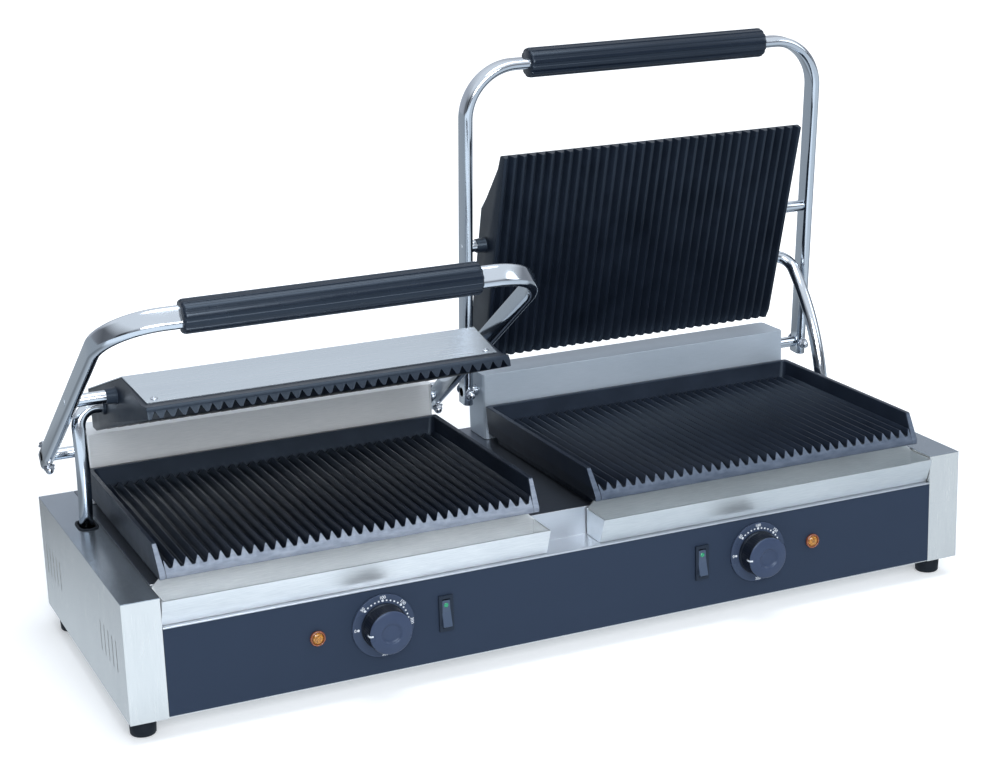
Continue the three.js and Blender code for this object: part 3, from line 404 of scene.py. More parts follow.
class Finish(Graph):
    """A material, with textures fixed to the object's own coordinates."""

    def __init__(self, name):
        self.material = bpy.data.materials.new(name)
        self.material.use_nodes = True
        super().__init__(self.material.node_tree)
        self.shader = self.tree.nodes["Principled BSDF"]
        coordinates = self.add("TexCoord").outputs
        self.place = coordinates["Object"]
        self.facing = coordinates["Normal"]

    def surface(self, inputs):
        self.feed(self.shader, inputs)

    def grain(self, scale, detail, roughness=0.55, stretch=(1, 1, 1)):
        """Noise of that scale, with a factor on it along each axis."""
        mapping = self.add("Mapping", {"Vector": self.place, "Scale": stretch})
        texture = self.add("TexNoise", {"Vector": mapping.outputs["Vector"], "Scale": scale,
                                        "Detail": detail, "Roughness": roughness})
        return texture.outputs["Fac"]

    def shades(self, value, dark, light):
        return self.ramp(value, [(0.3, dark), (0.7, light)])

    def spread(self, value, limits):
        """A noise's middle half spread over the limits."""
        return self.mapped(value, (0.25, 0.75), limits)

    def colour(self):
        return self.shader.inputs["Base Color"].links[0].from_socket


def brushed_steel(name, stretch, dark, light, rough=(0.3, 0.4), metal=0.85):
    """Brushed sheet. stretch is that of its noise, with the small value along the brushing."""
    finish = Finish(name)
    streaks = finish.grain(scale=1300.0, detail=2.0, roughness=0.5, stretch=stretch)
    softer = tuple(0.25 + 0.75 * s for s in stretch)
    broad = finish.grain(scale=30.0, detail=2.0, stretch=softer)
    finish.surface({
        "Base Color": finish.shades(finish.between(0.5, streaks, broad), dark, light),
        "Roughness": finish.spread(streaks, rough),
        "Metallic": metal,
        "Normal": finish.bump(streaks, strength=0.03, distance=0.0001),
    })
    return finish


def painted_shade_beyond(finish, axis, edge, tint):
    """Painted shade: a darker tint beyond a line on the object, behind, above or to the right of
    it.
    """
    beyond = finish.maths("GREATER_THAN", finish.parts(finish.place)[axis], edge)
    finish.surface({
        "Base Color": finish.tinted(beyond, finish.colour(), tint + (1.0,), "MULTIPLY"),
    })
    return finish


def chrome(name, colour, roughness):
    finish = Finish(name)
    smear = finish.grain(scale=35.0, detail=3.0)
    finish.surface({
        "Base Color": colour,
        "Roughness": finish.spread(smear, (roughness, roughness + 0.05)),
        "Metallic": 1.0,
    })
    return finish


def cast_iron(name, dark, light):
    finish = Finish(name)
    patches = finish.grain(scale=28.0, detail=5.0)
    pores = finish.grain(scale=900.0, detail=3.0, roughness=0.7)
    finish.surface({
        "Base Color": finish.shades(patches, dark, light),
        "Roughness": finish.spread(patches, (0.3, 0.44)),
        "Specular IOR Level": 0.42,
        "Specular Tint": (0.66, 0.82, 1.0, 1.0),
        "Normal": finish.bump(pores, strength=0.25, distance=0.0003),
    })
    return finish


# On a lower plate the ribs darken from below their tips to just above the valleys, from residue
# with painted shade between the ribs. What faces forward within this reach of the panel is painted
# bright, as bare metal from grinding with a painted reflection.
RESIDUE_AND_SHADE_TOP = DECK_TOP + LOWER_TIP - 2.2
RESIDUE_AND_SHADE_BOTTOM = DECK_TOP + LOWER_TIP - RIB_HEIGHT + 0.6
RESIDUE_AND_SHADE_TINT = (0.35, 0.35, 0.35, 1.0)
GRINDING_AND_REFLECTION_REACH = 32.0
GRINDING_AND_REFLECTION_FACING = (-0.62, -0.78)


def lower_iron(name, grinding_and_reflection_dark, grinding_and_reflection_light):
    """Cast iron, darker between its ribs from residue and painted shade, with a bright front face:
    bare metal from grinding with a painted reflection.
    """
    finish = cast_iron(name, srgb(19, 25, 36), srgb(27, 34, 47))
    place = finish.parts(finish.place)
    # Bare metal from grinding with a painted reflection, on faces that look forward near the
    # panel.
    forward = finish.mapped(finish.parts(finish.facing)["Y"], GRINDING_AND_REFLECTION_FACING)
    near = finish.maths("LESS_THAN", place["Y"], (FRONT + GRINDING_AND_REFLECTION_REACH) * MM)
    marks = finish.grain(scale=260.0, detail=4.0, roughness=0.6, stretch=(0.25, 1, 1))
    grinding_and_reflection = finish.shades(marks, grinding_and_reflection_dark, grinding_and_reflection_light)
    # Residue with painted shade: darker from below the rib tips to just above the valleys.
    depth = finish.mapped(place["Z"], (RESIDUE_AND_SHADE_TOP * MM, RESIDUE_AND_SHADE_BOTTOM * MM))
    residue_and_shade = finish.tinted(depth, finish.colour(), RESIDUE_AND_SHADE_TINT, "MULTIPLY")
    front = finish.maths("MULTIPLY", forward, near)
    finish.surface({"Base Color": finish.tinted(front, residue_and_shade, grinding_and_reflection)})
    return finish


def moulded(name, colour, variation, rough, scale, strength, specular=0.3):
    """Plastic, rubber or paint, with colour patches that vary by a factor and a fine skin."""
    finish = Finish(name)
    patches = finish.grain(scale=40.0, detail=3.0)
    skin = finish.grain(scale, detail=2.0)
    finish.surface({
        "Base Color": finish.shades(patches, colour, scaled(colour, variation)),
        "Roughness": finish.spread(patches, rough),
        "Specular IOR Level": specular,
        "Specular Tint": (0.72, 0.85, 1.0, 1.0),
        "Normal": finish.bump(skin, strength, distance=0.0002),
    })
    return finish


def lens(name, colour, glow, shade, cells):
    """A moulded lens whose prism cells show as a mosaic of light and dark spots."""
    finish = Finish(name)
    mosaic = finish.add("TexVoronoi", {"Vector": finish.place, "Scale": cells}).outputs["Distance"]
    finish.surface({
        "Base Color": finish.ramp(mosaic, [(0.1, colour), (0.7, scaled(colour, shade))]),
        "Roughness": 0.16,
        "Emission Color": colour,
        "Emission Strength": glow,
        "Coat Weight": 0.5,
        "Coat Roughness": 0.06,
        "Normal": finish.bump(mosaic, strength=0.4, distance=0.0004),
    })
    return finish


ALONG_X = (0.06, 1.0, 1.0)
FINE_X = (0.012, 1.0, 1.0)
ALONG_Z = (1.0, 1.0, 0.04)
# Painted shade: above the deck's level this steel is tinted darker and bluer.
STEEL_END = painted_shade_beyond(
    brushed_steel("steel_end_cap", ALONG_Z, srgb(210, 212, 212), srgb(222, 223, 222), (0.2, 0.28)),
    "Z", (DECK_TOP - 0.6) * MM, (0.44, 0.50, 0.58))
# Painted shade: the right spring cover is tinted darker than the left one.
STEEL_COVER = painted_shade_beyond(
    brushed_steel("steel_spring_cover", ALONG_X, srgb(222, 226, 229), srgb(240, 242, 244),
                  (0.34, 0.44), metal=0.4),
    "X", 0.0, (0.54, 0.60, 0.67))
# Painted shade and reflection of the plates: behind its front strip the deck is tinted dark.
STEEL_DECK = painted_shade_beyond(
    brushed_steel("steel_deck", ALONG_X, srgb(190, 196, 204), srgb(198, 203, 210)),
    "Y", (FRONT + 33.4) * MM, (0.24, 0.26, 0.30))
# Painted shade: the right drip tray is tinted darker than the left one.
STEEL_TRAY = painted_shade_beyond(
    brushed_steel("steel_tray", ALONG_X, srgb(214, 218, 221), srgb(240, 242, 243)),
    "X", 0.0, (0.80, 0.82, 0.83))
STEEL_TOP = brushed_steel("steel_top_cover", FINE_X, srgb(188, 196, 204), srgb(196, 204, 211),
                          (0.24, 0.28))
CHROME = chrome("chrome_tube", (0.60, 0.645, 0.70, 1.0), 0.1)
ZINC = chrome("zinc_bolt", (0.50, 0.53, 0.58, 1.0), 0.2)
IRON = cast_iron("cast_iron_plate", srgb(16, 22, 32), srgb(23, 30, 42))
# The front faces' painted reflection is brighter on the left plate than on the right one.
IRON_LOWER = {
    "left": lower_iron("cast_iron_lower_left", srgb(106, 113, 126), srgb(136, 143, 155)),
    "right": lower_iron("cast_iron_lower_right", srgb(60, 68, 82), srgb(84, 92, 106)),
}
ELEMENT = cast_iron("element_sheath", srgb(60, 56, 52), srgb(86, 80, 74))
PANEL = moulded("panel_coating", srgb(38, 48, 65), 1.04, (0.5, 0.58), 2500.0, 0.03, specular=0.2)
GRIP = moulded("grip_plastic", srgb(15, 23, 35), 1.12, (0.2, 0.27), 1200.0, 0.03, specular=0.45)
# Painted shade: the knob's side, behind the rim of its face, is tinted near black.
KNOB = painted_shade_beyond(
    moulded("knob_plastic", srgb(50, 60, 82), 1.1, (0.26, 0.32), 1500.0, 0.03),
    "Y", (FRONT - 19.9) * MM, (0.16, 0.15, 0.14))
DIAL = moulded("dial_plate", srgb(49, 59, 79), 1.08, (0.24, 0.3), 2500.0, 0.02)
BLACK = moulded("black_plastic", srgb(26, 33, 45), 1.12, (0.34, 0.42), 1500.0, 0.05)
RUBBER = moulded("rubber", srgb(19, 22, 28), 1.2, (0.6, 0.75), 900.0, 0.2)
GLOSS = moulded("rocker_plastic", srgb(64, 75, 93), 1.08, (0.2, 0.28), 1500.0, 0.03)
PRINT = moulded("white_print", srgb(205, 210, 216), 1.04, (0.5, 0.6), 2500.0, 0.02)
AMBER = lens("amber_lens", srgb(206, 138, 40), glow=0.02, shade=0.3, cells=800.0)
AMBER_RING = lens("amber_ring", srgb(142, 78, 48), glow=0.02, shade=0.7, cells=500.0)
GREEN = lens("green_lens", srgb(24, 140, 98), glow=0.12, shade=0.7, cells=900.0)

# The CAD nodes that keep their shape, with their finish and how far their edges are softened
PAIRED_NODES = {
    "side_cover": (STEEL_END, 0.6),
    "spring_cover": (STEEL_COVER, 0.4),
    "drip_tray": (STEEL_TRAY, 0.25),
    "top_cover": (STEEL_TOP, 0.25),
    "lower_heater": (ELEMENT, 0),
    "upper_heater": (ELEMENT, 0),
    "axle_bracket": (ZINC, 0),
    "torsion_spring": (ZINC, 0),
    "thermostat": (ZINC, 0),
    "conduit_grommet": (RUBBER, 0.3),
    "switch_body": (BLACK, 0.3),
}
SINGLE_NODES = {
    "deck": (STEEL_DECK, 0.4),
    "front_panel": (PANEL, 0),
    "rear_panel": (STEEL_END, 0),
    "bottom_plate": (STEEL_END, 0),
    "cable_gland": (BLACK, 0.3),
    "terminal_block": (BLACK, 0),
}
WELD_DISTANCE = 0.00001


def dress(node, finish, edge):
    piece = NODES[node]
    piece.material_slots[0].link = "OBJECT"
    piece.material_slots[0].material = finish.material
    if edge:
        weld = piece.modifiers.new("weld", "WELD")
        weld.merge_threshold = WELD_DISTANCE
        soften(piece, edge)


for name in LIDS:
    for node, look in PAIRED_NODES.items():
        dress(f"{node}_{name}", *look)
for node, look in SINGLE_NODES.items():
    dress(node, *look)


# Lids: chrome bow, fluted grip, axle with its cross bolts, pivot pins
GRIP_FLUTES = 13
FLUTE_STEPS = 28
FLUTE_DEPTH = 0.9
FLUTE_HALF_SHARE = 0.27
FLUTE_SLOPE_SHARE = 0.07
GRIP_END = [(0.0, 0.87), (0.4, 0.92), (1.2, 0.97), (2.2, 0.993), (3.5, 1.0)]
BOW_STEPS = 32
AXLE_ROUND = 0.8
PIN_ROUND = 0.4
RIVET_RADIUS = 3.6
RIVET_SINK = 0.5
RIVET_LIFT = 0.25
CONDUIT_ENTRY = 0.6
WASHER_RADIUS = 5.6
WASHER_THICKNESS = 0.8
HEAD_RADIUS = 4.6
HEAD_TOP = 3.5
NUT_RADIUS = 4.8
NUT_TOP = 4.3
NUT_CAP_RADIUS = 3.9
NUT_CAP_BASE = 3.0
NUT_DOME_BASE = 4.2
HEXAGON_CHAMFER = 0.5


def handle_bow(name, lid):
    half = LEG_HALF_SPAN
    leg = LEG_OVERHANG + GRIP_DISTANCE - BEND_RADIUS
    path = Path((-half, 0, -LEG_OVERHANG), (0, 0, 1))
    path.run(leg, 12)
    path.bend((0, 1, 0), pi / 2, BEND_RADIUS, BOW_STEPS)
    path.run(2 * (half - BEND_RADIUS), 8)
    path.bend((0, 1, 0), pi / 2, BEND_RADIUS, BOW_STEPS)
    path.run(leg, 12)
    shape = sweep(path, stadium(TUBE_WIDE, TUBE_THIN), side=(0, 1, 0))
    new_mesh(f"bow_tube_{name}", shape, CHROME, *lid["on_bow"],
             replaces=[f"handle_bow_{name}"], slot="chrome")


def grip(name, lid):
    section = []
    for i, angle in enumerate(circle(GRIP_FLUTES * FLUTE_STEPS)):
        off_middle = abs(i % FLUTE_STEPS / FLUTE_STEPS - 0.5)
        share = (FLUTE_HALF_SHARE - off_middle) / FLUTE_SLOPE_SHARE
        section.append((angle, GRIP_RADIUS - FLUTE_DEPTH * min(1.0, max(0.0, share))))
    half = GRIP_LENGTH / 2
    stations = [(-half + step, scale) for step, scale in GRIP_END]
    stations += [(-x, scale) for x, scale in reversed(stations)]
    verts = []
    for x, scale in stations:
        for angle, radius in section:
            r = radius * scale
            verts.append((x, r * cos(angle), GRIP_DISTANCE + r * sin(angle)))
    shape = (verts, grid_faces(len(stations), len(section)))
    new_mesh(f"grip_sleeve_{name}", shape, GRIP, *lid["on_bow"],
             replaces=[f"grip_{name}"], slot="grip_plastic")


def axle(name, lid):
    end = LEG_HALF_SPAN + TUBE_THIN / 2
    profile = rounded_profile(AXLE_RADIUS, -end, end, AXLE_ROUND, AXLE_ROUND)
    new_mesh(f"axle_rod_{name}", lathe(profile, (1, 0, 0), ORIGIN, 40), CHROME, *lid["on_bow"],
             replaces=[f"axle_{name}"], slot="chrome")


def hexagon_prism(radius, start, end, x):
    verts = []
    narrow = radius - HEXAGON_CHAMFER
    for y, r in ((start, narrow), (start + HEXAGON_CHAMFER, radius),
                 (end - HEXAGON_CHAMFER, radius), (end, narrow)):
        for angle in circle(6):
            verts.append((x + r * cos(angle), y, r * sin(angle)))
    return verts, turned_over(grid_faces(4, 6))


def axle_bolt(name, place, lid):
    """A hexagon head behind the leg and a cap nut in front, each on a washer."""
    x = lid["side"] * LEGS[place] * LEG_HALF_SPAN
    face = TUBE_WIDE / 2
    washers = []
    for low in (face, -face - WASHER_THICKNESS):
        profile = rounded_profile(WASHER_RADIUS, low, low + WASHER_THICKNESS, 0.2, 0.2)
        washers.append(lathe(profile, (0, 1, 0), (x, 0, 0), 32))
    head = hexagon_prism(HEAD_RADIUS, face + WASHER_THICKNESS, face + HEAD_TOP, x)
    nut = hexagon_prism(NUT_RADIUS, -face - NUT_TOP, -face - WASHER_THICKNESS, x)
    cap = [(0, face + NUT_CAP_BASE), (NUT_CAP_RADIUS, face + NUT_CAP_BASE)]
    cap += [(NUT_CAP_RADIUS * cos(a), face + NUT_DOME_BASE + NUT_CAP_RADIUS * sin(a))
            for a in arc(10)]
    dome = lathe(cap, (0, -1, 0), (x, 0, 0), 32)
    new_mesh(f"cross_bolt_{name}_{place}", merged(washers[0], head, washers[1], nut, dome), ZINC,
             *lid["on_bow"], smooth=False, replaces=[f"axle_bolt_{name}_{place}"],
             slot="zinc_steel")


def pivot_pin(name, place, lid):
    """A pin from the leg into the plate's wall, and its riveted end on the leg's other face."""
    plate_face = UPPER_WIDTH / 2 - LEGS[place] * BOW_OFFSET - UPPER_WALL
    leg_face = LEG_HALF_SPAN - TUBE_THIN / 2
    rivet = leg_face + TUBE_THIN
    profiles = [rounded_profile(PIN_RADIUS, plate_face, leg_face, PIN_ROUND, PIN_ROUND),
                rounded_profile(RIVET_RADIUS, rivet - RIVET_SINK, rivet + RIVET_LIFT, 0.1, 0.2)]
    axis = (lid["side"] * LEGS[place], 0, 0)
    shapes = [lathe(profile, axis, (0, 0, PIN_DISTANCE), sides)
              for profile, sides in zip(profiles, (40, 32))]
    new_mesh(f"pin_{name}_{place}", merged(*shapes), CHROME, *lid["on_bow"],
             replaces=[f"pivot_pin_{name}_{place}"], slot="chrome")


def conduit(name, lid):
    side = lid["side"]
    start = UPPER_WIDTH / 2 - UPPER_WALL - CONDUIT_ENTRY
    path = Path((side * start, 0, 0), (side, 0, 0))
    path.run(CONDUIT_X - CONDUIT_ELBOW - start, 3)
    path.bend((0, side, 0), pi / 2, CONDUIT_ELBOW, 20)
    path.bend((1, 0, 0), lid["conduit"] / CONDUIT_CURVE, CONDUIT_CURVE, 40)
    new_mesh(f"conduit_tube_{name}", sweep(path, ring(CONDUIT_RADIUS)), CHROME,
             *lid["on_conduit"], replaces=[f"conduit_{name}"], slot="conduit_chrome")


# Plates: the same ribs as the source, with rounded tips, valleys and run-outs
def rib_profile(low_flat, low_radius, high_flat, high_radius):
    """Half a rib, from mid-valley to mid-tip: two fillets joined by a flank."""
    radii = low_radius + high_radius
    low_angle, high_angle = 0.2, 1.4
    for _ in range(50):
        angle = (low_angle + high_angle) / 2
        flank = (RIB_PITCH / 2 - low_flat - high_flat - radii * sin(angle)) / cos(angle)
        if radii * (1 - cos(angle)) + flank * sin(angle) > RIB_HEIGHT:
            high_angle = angle
        else:
            low_angle = angle
    points = [(0.0, 0.0)] if low_flat else []
    for a in arc(3, angle):
        points.append((low_flat + low_radius * sin(a), low_radius * (1 - cos(a))))
    for a in reversed(arc(3, angle)):
        points.append((RIB_PITCH / 2 - high_flat - high_radius * sin(a),
                       RIB_HEIGHT - high_radius * (1 - cos(a))))
    if high_flat:
        points.append((RIB_PITCH / 2, RIB_HEIGHT))
    return points


def rib_columns(half_profile, first_valley, valleys):
    """The (x, height) points of a row of valleys, each with its two flanks."""
    columns = []
    for i in range(valleys):
        middle = first_valley + i * RIB_PITCH
        falling = [(middle - x, z) for x, z in reversed(half_profile)]
        columns += falling[1:] if columns else falling
        columns += [(middle + x, z) for x, z in half_profile[1:]]
    return columns


def ring_columns(rings):
    """A body from a row of side-view rings of (x, y, z), closed at both ends."""
    return [point for loop in rings for point in loop], grid_faces(len(rings), len(rings[0]))


def slope_y(z):
    """Where the ground front of a lower plate lies at a height."""
    return LOWER_FRONT + max(0.0, z - LOWER_BAND) * FRONT_SLOPE


# The ribs' flat and radius in the valley, then at the tip, and the rounded top edge of a lower
# rib's front end, as (behind the slope, below the rib's top)
LOWER_RIB = (0.75, 1.1, 0.0, 0.75)
UPPER_RIB = (0.0, 0.5, 0.75, 0.8)
RIB_FRONT = [(0.02, 0.3), (0.3, 0.04), (0.9, 0.0)]
FIELD_STEP = 60
RUN_OUT_START = 7.5
RUN_OUT_LENGTH = 7
RUN_OUT_STEPS = 8
RUN_OUT_POWER = 0.7
UNDER_RIM = 2.0
LOWER_CHAMFER = 1.0

# The rim wall's section, as (distance inwards, height)
RIM_SECTION = [
    (RIM_DRAFT, LOWER_UNDER), (RIM_DRAFT * 0.85, LOWER_BAND), (0, LOWER_RIM),
    (RIM_TOP_WALL, LOWER_RIM), (RIM_FOOT_WALL - 0.5, LOWER_TIP - 3),
    (RIM_FOOT_WALL, LOWER_TIP - RIB_HEIGHT), (RIM_FOOT_WALL, LOWER_BAND),
    (RIM_FOOT_WALL, LOWER_UNDER),
]
SKIRT_INSET = 6.0
SKIRT_WALL = 5.0
SKIRT_FRONT = 34.0
SKIRT_CORNER = 12.0
SKIRT_FOOT = 0.3
SKIRT_OVERLAP = 2.0


def lower_field():
    """The ribbed bed, cut off in front by the slope. Its ribs run out before the rim's foot."""
    valley = LOWER_TIP - RIB_HEIGHT
    columns = rib_columns(rib_profile(*LOWER_RIB), -RIB_PITCH * RIB_COUNT / 2, RIB_COUNT + 1)
    stop = LOWER_BACK - RIM_FOOT_WALL
    ways = [i / RUN_OUT_STEPS for i in range(RUN_OUT_STEPS)]
    run_out = [(way, cos(way * pi / 2) ** RUN_OUT_POWER) for way in ways] + [(1, 0.0)]
    under = [(stop + UNDER_RIM, LOWER_UNDER), (LOWER_FRONT + LOWER_CHAMFER, LOWER_UNDER),
             (LOWER_FRONT + 0.3, LOWER_UNDER + 0.3), (LOWER_FRONT, LOWER_UNDER + LOWER_CHAMFER),
             (LOWER_FRONT, LOWER_BAND)]
    rings = []
    for x, height in columns:
        z = valley + height
        loop = [(slope_y(z) + behind, z - below) for behind, below in RIB_FRONT]
        loop += [(LOWER_FRONT + FIELD_STEP * i, z) for i in range(1, 4)]
        loop += [(stop - RUN_OUT_START + RUN_OUT_LENGTH * way, valley + height * share)
                 for way, share in run_out]
        loop += [(stop + UNDER_RIM, valley)] + under
        rings.append([(x, y, z) for y, z in loop])
    verts, faces = ring_columns(rings)
    return verts, turned_over(faces)


def lower_rim():
    """The rim wall round the left, back and right, with rounded corners."""
    half = LOWER_WIDTH / 2
    rings = []
    for end in (-1, 1):
        loops = [[(end * (half - d), slope_y(z), z) for d, z in RIM_SECTION]]
        for angle in arc(6):
            loop = []
            for d, z in RIM_SECTION:
                radius = RIM_CORNER + RIM_FILLET * d / RIM_FOOT_WALL
                loop.append((end * (half - d - radius + radius * cos(angle)),
                             LOWER_BACK - d - radius + radius * sin(angle), z))
            loops.append(loop)
        rings += loops if end < 0 else reversed(loops)
    count = len(RIM_SECTION)
    faces = grid_faces(len(rings), count, closed_ends=False)
    for start in (0, (len(rings) - 1) * count):
        ends = [(start, start + 1, start + count - 2, start + count - 1),
                tuple(start + i for i in range(1, count - 1))]
        faces += ends if start else turned_over(ends)
    return [point for loop in rings for point in loop], faces


def rounded_outline(half, front, back, radius):
    corners = [(half - radius, back - radius, 0.0), (-half + radius, back - radius, pi / 2),
               (-half + radius, front + radius, pi), (half - radius, front + radius, 1.5 * pi)]
    return [(x + radius * cos(angle), y + radius * sin(angle))
            for x, y, start in corners for angle in arc(6, start=start)]


def lower_skirt():
    """A low wall under the plate, down to the deck."""
    half = LOWER_WIDTH / 2 - SKIRT_INSET
    back = LOWER_BACK - SKIRT_INSET
    outer = rounded_outline(half, SKIRT_FRONT, back, SKIRT_CORNER)
    inner = rounded_outline(half - SKIRT_WALL, SKIRT_FRONT + SKIRT_WALL, back - SKIRT_WALL,
                            SKIRT_CORNER - SKIRT_WALL)
    top = LOWER_UNDER + SKIRT_OVERLAP
    verts = []
    for outline, z in ((inner, top), (inner, SKIRT_FOOT), (outer, SKIRT_FOOT), (outer, top)):
        verts += [(x, y, z) for x, y in outline]
    count = len(outer)
    faces = grid_faces(4, count, closed_ends=False)
    faces += [(3 * count + i, 3 * count + (i + 1) % count, (i + 1) % count, i)
              for i in range(count)]
    return verts, faces


def lower_plate(name, lid):
    matrix = Matrix.Translation(at(lid["side"] * PLATE_SPACING / 2, 0, DECK_TOP))
    bed = new_mesh(f"plate_bed_{name}", lower_field(), IRON_LOWER[name], "base", matrix,
                   replaces=[f"lower_plate_{name}"], slot="cast_iron")
    bed.data.set_sharp_from_angle(angle=radians(42))
    rim = new_mesh(f"plate_rim_{name}", merged(lower_rim(), lower_skirt()), IRON_LOWER[name],
                   "base", matrix, slot="cast_iron")
    rim.data.set_sharp_from_angle(angle=radians(30))
    soften(rim, 0.9, segments=3)


def inset_loop(loop, distance):
    """A closed (y, z) loop moved inwards, corner by corner."""
    moved = []
    for i, point in enumerate(loop):
        before, after = Vector(loop[i - 1]), Vector(loop[(i + 1) % len(loop)])
        here = Vector(point)
        first = (here - before).normalized()
        second = (after - here).normalized()
        normal = Vector((-first.y - second.y, first.x + second.x)).normalized()
        stretch = max(0.5, Vector((-first.y, first.x)).dot(normal))
        moved.append(tuple(here + normal * distance / stretch))
    return moved


# The upper plate's side view in (y, z) from its pins. The grooves notch the lowest part of the
# bevel along its rear edge, and in front they end at the lower edge of a smooth band.
TAIL_REACH = 12
TAIL_NOTCH = 3.4
BAND_END = 6.4
GROOVE_END = 6.35
FULL_GROOVE = 5.9
UPPER_OUTSIDE = [
    (UPPER_BACK + TAIL_REACH, UPPER_TIP + 6.6), (UPPER_BACK + 7.1, 10.6),
    (UPPER_BACK + 6.6, 11.3), (-32.4, 12.8), (-33.4, 12.5), (-88.5, -13.8),
    (-UPPER_FRONT + 2.3, UPPER_TIP + 10.5), (-UPPER_FRONT + 1.3, UPPER_TIP + 9.4),
    (-UPPER_FRONT + 0.2, UPPER_TIP + 7.0), (-UPPER_FRONT, UPPER_TIP + BAND_END),
]
CAVITY_FLOOR = UPPER_TIP + RIB_HEIGHT + 7
CAVITY = [(UPPER_BACK + 2, CAVITY_FLOOR), (UPPER_BACK + 2, 9.5), (-28.0, 10.8),
          (-74.0, CAVITY_FLOOR)]

# The rounding of the plate's sides, as (step inwards along X, inset of the side view)
SIDE_ROUND = [(0, 0.7), (0.2, 0.2), (0.7, 0.0)]
PIN_BOSS = [(0, -2.0), (8.6, -2.0), (7.9, 0.6), (7.2, 2.0), (6.9, 8.6), (6.5, 9.3), (0, 9.5)]
CONDUIT_SEAT = [(0, -2.0), (9.0, -2.0), (8.4, 0.6), (8.2, 1.8), (7.6, 2.5), (0, 2.5)]


def upper_loop(height):
    """The upper plate's side view where its groove is that deep, from the front foot round."""
    z = UPPER_TIP + height
    tail = TAIL_REACH * min(1.0, height / TAIL_NOTCH)
    underside = [(-UPPER_FRONT + 0.9, z), (UPPER_BACK + tail, z),
                 (UPPER_BACK + TAIL_REACH, max(z, UPPER_TIP + TAIL_NOTCH))]
    foot_z = z + 0.3 if height < FULL_GROOVE else UPPER_TIP + GROOVE_END
    return underside + UPPER_OUTSIDE + [(-UPPER_FRONT, foot_z), (-UPPER_FRONT + 0.3, z + 0.04)]


def upper_plate(name, lid):
    """The ribbed casting with its hollow back, two pin bosses and the conduit's seat."""
    half = UPPER_WIDTH / 2
    mouth = [(x, RIB_HEIGHT - z) for x, z in rib_profile(*UPPER_RIB)]
    columns = rib_columns(mouth, -RIB_PITCH * (RIB_COUNT - 1) / 2, RIB_COUNT)
    sides = [(step, inset_loop(upper_loop(0.0), inset)) for step, inset in SIDE_ROUND]
    loops = [(-half + step, loop) for step, loop in sides]
    loops += [(x, upper_loop(height)) for x, height in columns]
    loops += [(half - step, loop) for step, loop in reversed(sides)]
    body = ring_columns([[(x, y, z) for y, z in loop] for x, loop in loops])
    inside = half - UPPER_WALL
    hollow = ring_columns([[(x, y, z) for y, z in CAVITY] for x in (inside, -inside)])
    bosses = [lathe(PIN_BOSS, (end, 0, 0), (end * half, 0, 0), 40) for end in (-1, 1)]
    seat = lathe(CONDUIT_SEAT, (lid["side"], 0, 0), (lid["side"] * half, *SEAT), 40)
    piece = new_mesh(f"plate_upper_{name}", merged(body, hollow, *bosses, seat), IRON,
                     *lid["on_plate"], replaces=[f"upper_plate_{name}"], slot="cast_iron")
    piece.data.set_sharp_from_angle(angle=radians(35))


# The top cover's sloped front, from its upper edge down, and the screws near its foot
SLOPE_TOP = Vector((0, -33.0, 12.8))
SLOPE = Vector((0, -55.5, -26.6)).normalized()
SLOPE_NORMAL = Vector((0, SLOPE.z, -SLOPE.y))
SCREW_WAY = 54.5
SCREW_LIFT = 1.2
SCREW_INSET = 13
SCREW_HEAD = [(0, 0), (3.2, 0), (3.1, 0.5), (2.5, 1.0), (1.4, 1.25), (0.9, 1.3), (0.7, 0.9),
              (0, 0.9)]


def cover_screws(name, lid):
    """Two low dome-headed screws near the front corners of the top cover."""
    seat = SLOPE_TOP + SLOPE * SCREW_WAY + SLOPE_NORMAL * SCREW_LIFT
    reach = UPPER_WIDTH / 2 - SCREW_INSET
    heads = [lathe(SCREW_HEAD, SLOPE_NORMAL, seat + Vector((end * reach, 0, 0)), 24)
             for end in (-1, 1)]
    new_mesh(f"cover_screws_{name}", merged(*heads), ZINC, *lid["on_plate"], slot="zinc_steel")


for name, lid in LIDS.items():
    cover_screws(name, lid)
    lower_plate(name, lid)
    upper_plate(name, lid)
    handle_bow(name, lid)
    grip(name, lid)
    axle(name, lid)
    conduit(name, lid)
    for place in LEGS:
        axle_bolt(name, place, lid)
        pivot_pin(name, place, lid)


# Feet
FOOT_TOP = FOOT_HEIGHT - 0.3
FOOT_PROFILE = [(0, 0), (9.0, 0), (10.4, 0.5), (11.1, 1.6), (12.0, FOOT_TOP), (0, FOOT_TOP)]

for corner in ("front_left", "front_right", "rear_left", "rear_right"):
    low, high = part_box(f"foot_{corner}")
    middle = (low + high) / 2 / MM
    new_mesh(f"foot_pad_{corner}", lathe(FOOT_PROFILE, (0, 0, 1), (middle.x, middle.y, 0), 48),
             RUBBER, "base", replaces=[f"foot_{corner}"], slot="foot_rubber")


# Controls: dial with its printed scale, ribbed knob, lamp, rocker. Turned pieces face forward.
FORWARD = (0, -1, 0)
DIAL_PROFILE = [(0, 0.3), (28.5, 0.3), (28.5, 1.8), (28.1, 2.2), (27.4, 2.35), (0, 2.35)]
DOT_STEP = radians(9)
DOT_COUNT = 31
DOTS_PER_NUMBER = 5
DOT_CIRCLE = 23.2
LARGE_DOT = 1.15
SMALL_DOT = 0.8
DOT_BOTTOM = 2.3
DOT_TOP = 2.42
NUMBERS = ("0", "50", "100", "150", "200", "250", "300")
NUMBER_CIRCLE = 26.0
NUMBER_SIZE = 3.9
NUMBER_FACE = 2.38
NUMBER_RAISE = 0.05
NUMBER_WEIGHT = 0.06

KNOB_RIBS = 60
KNOB_RIB_STEPS = 6
KNOB_RIB_DEPTH = 0.28

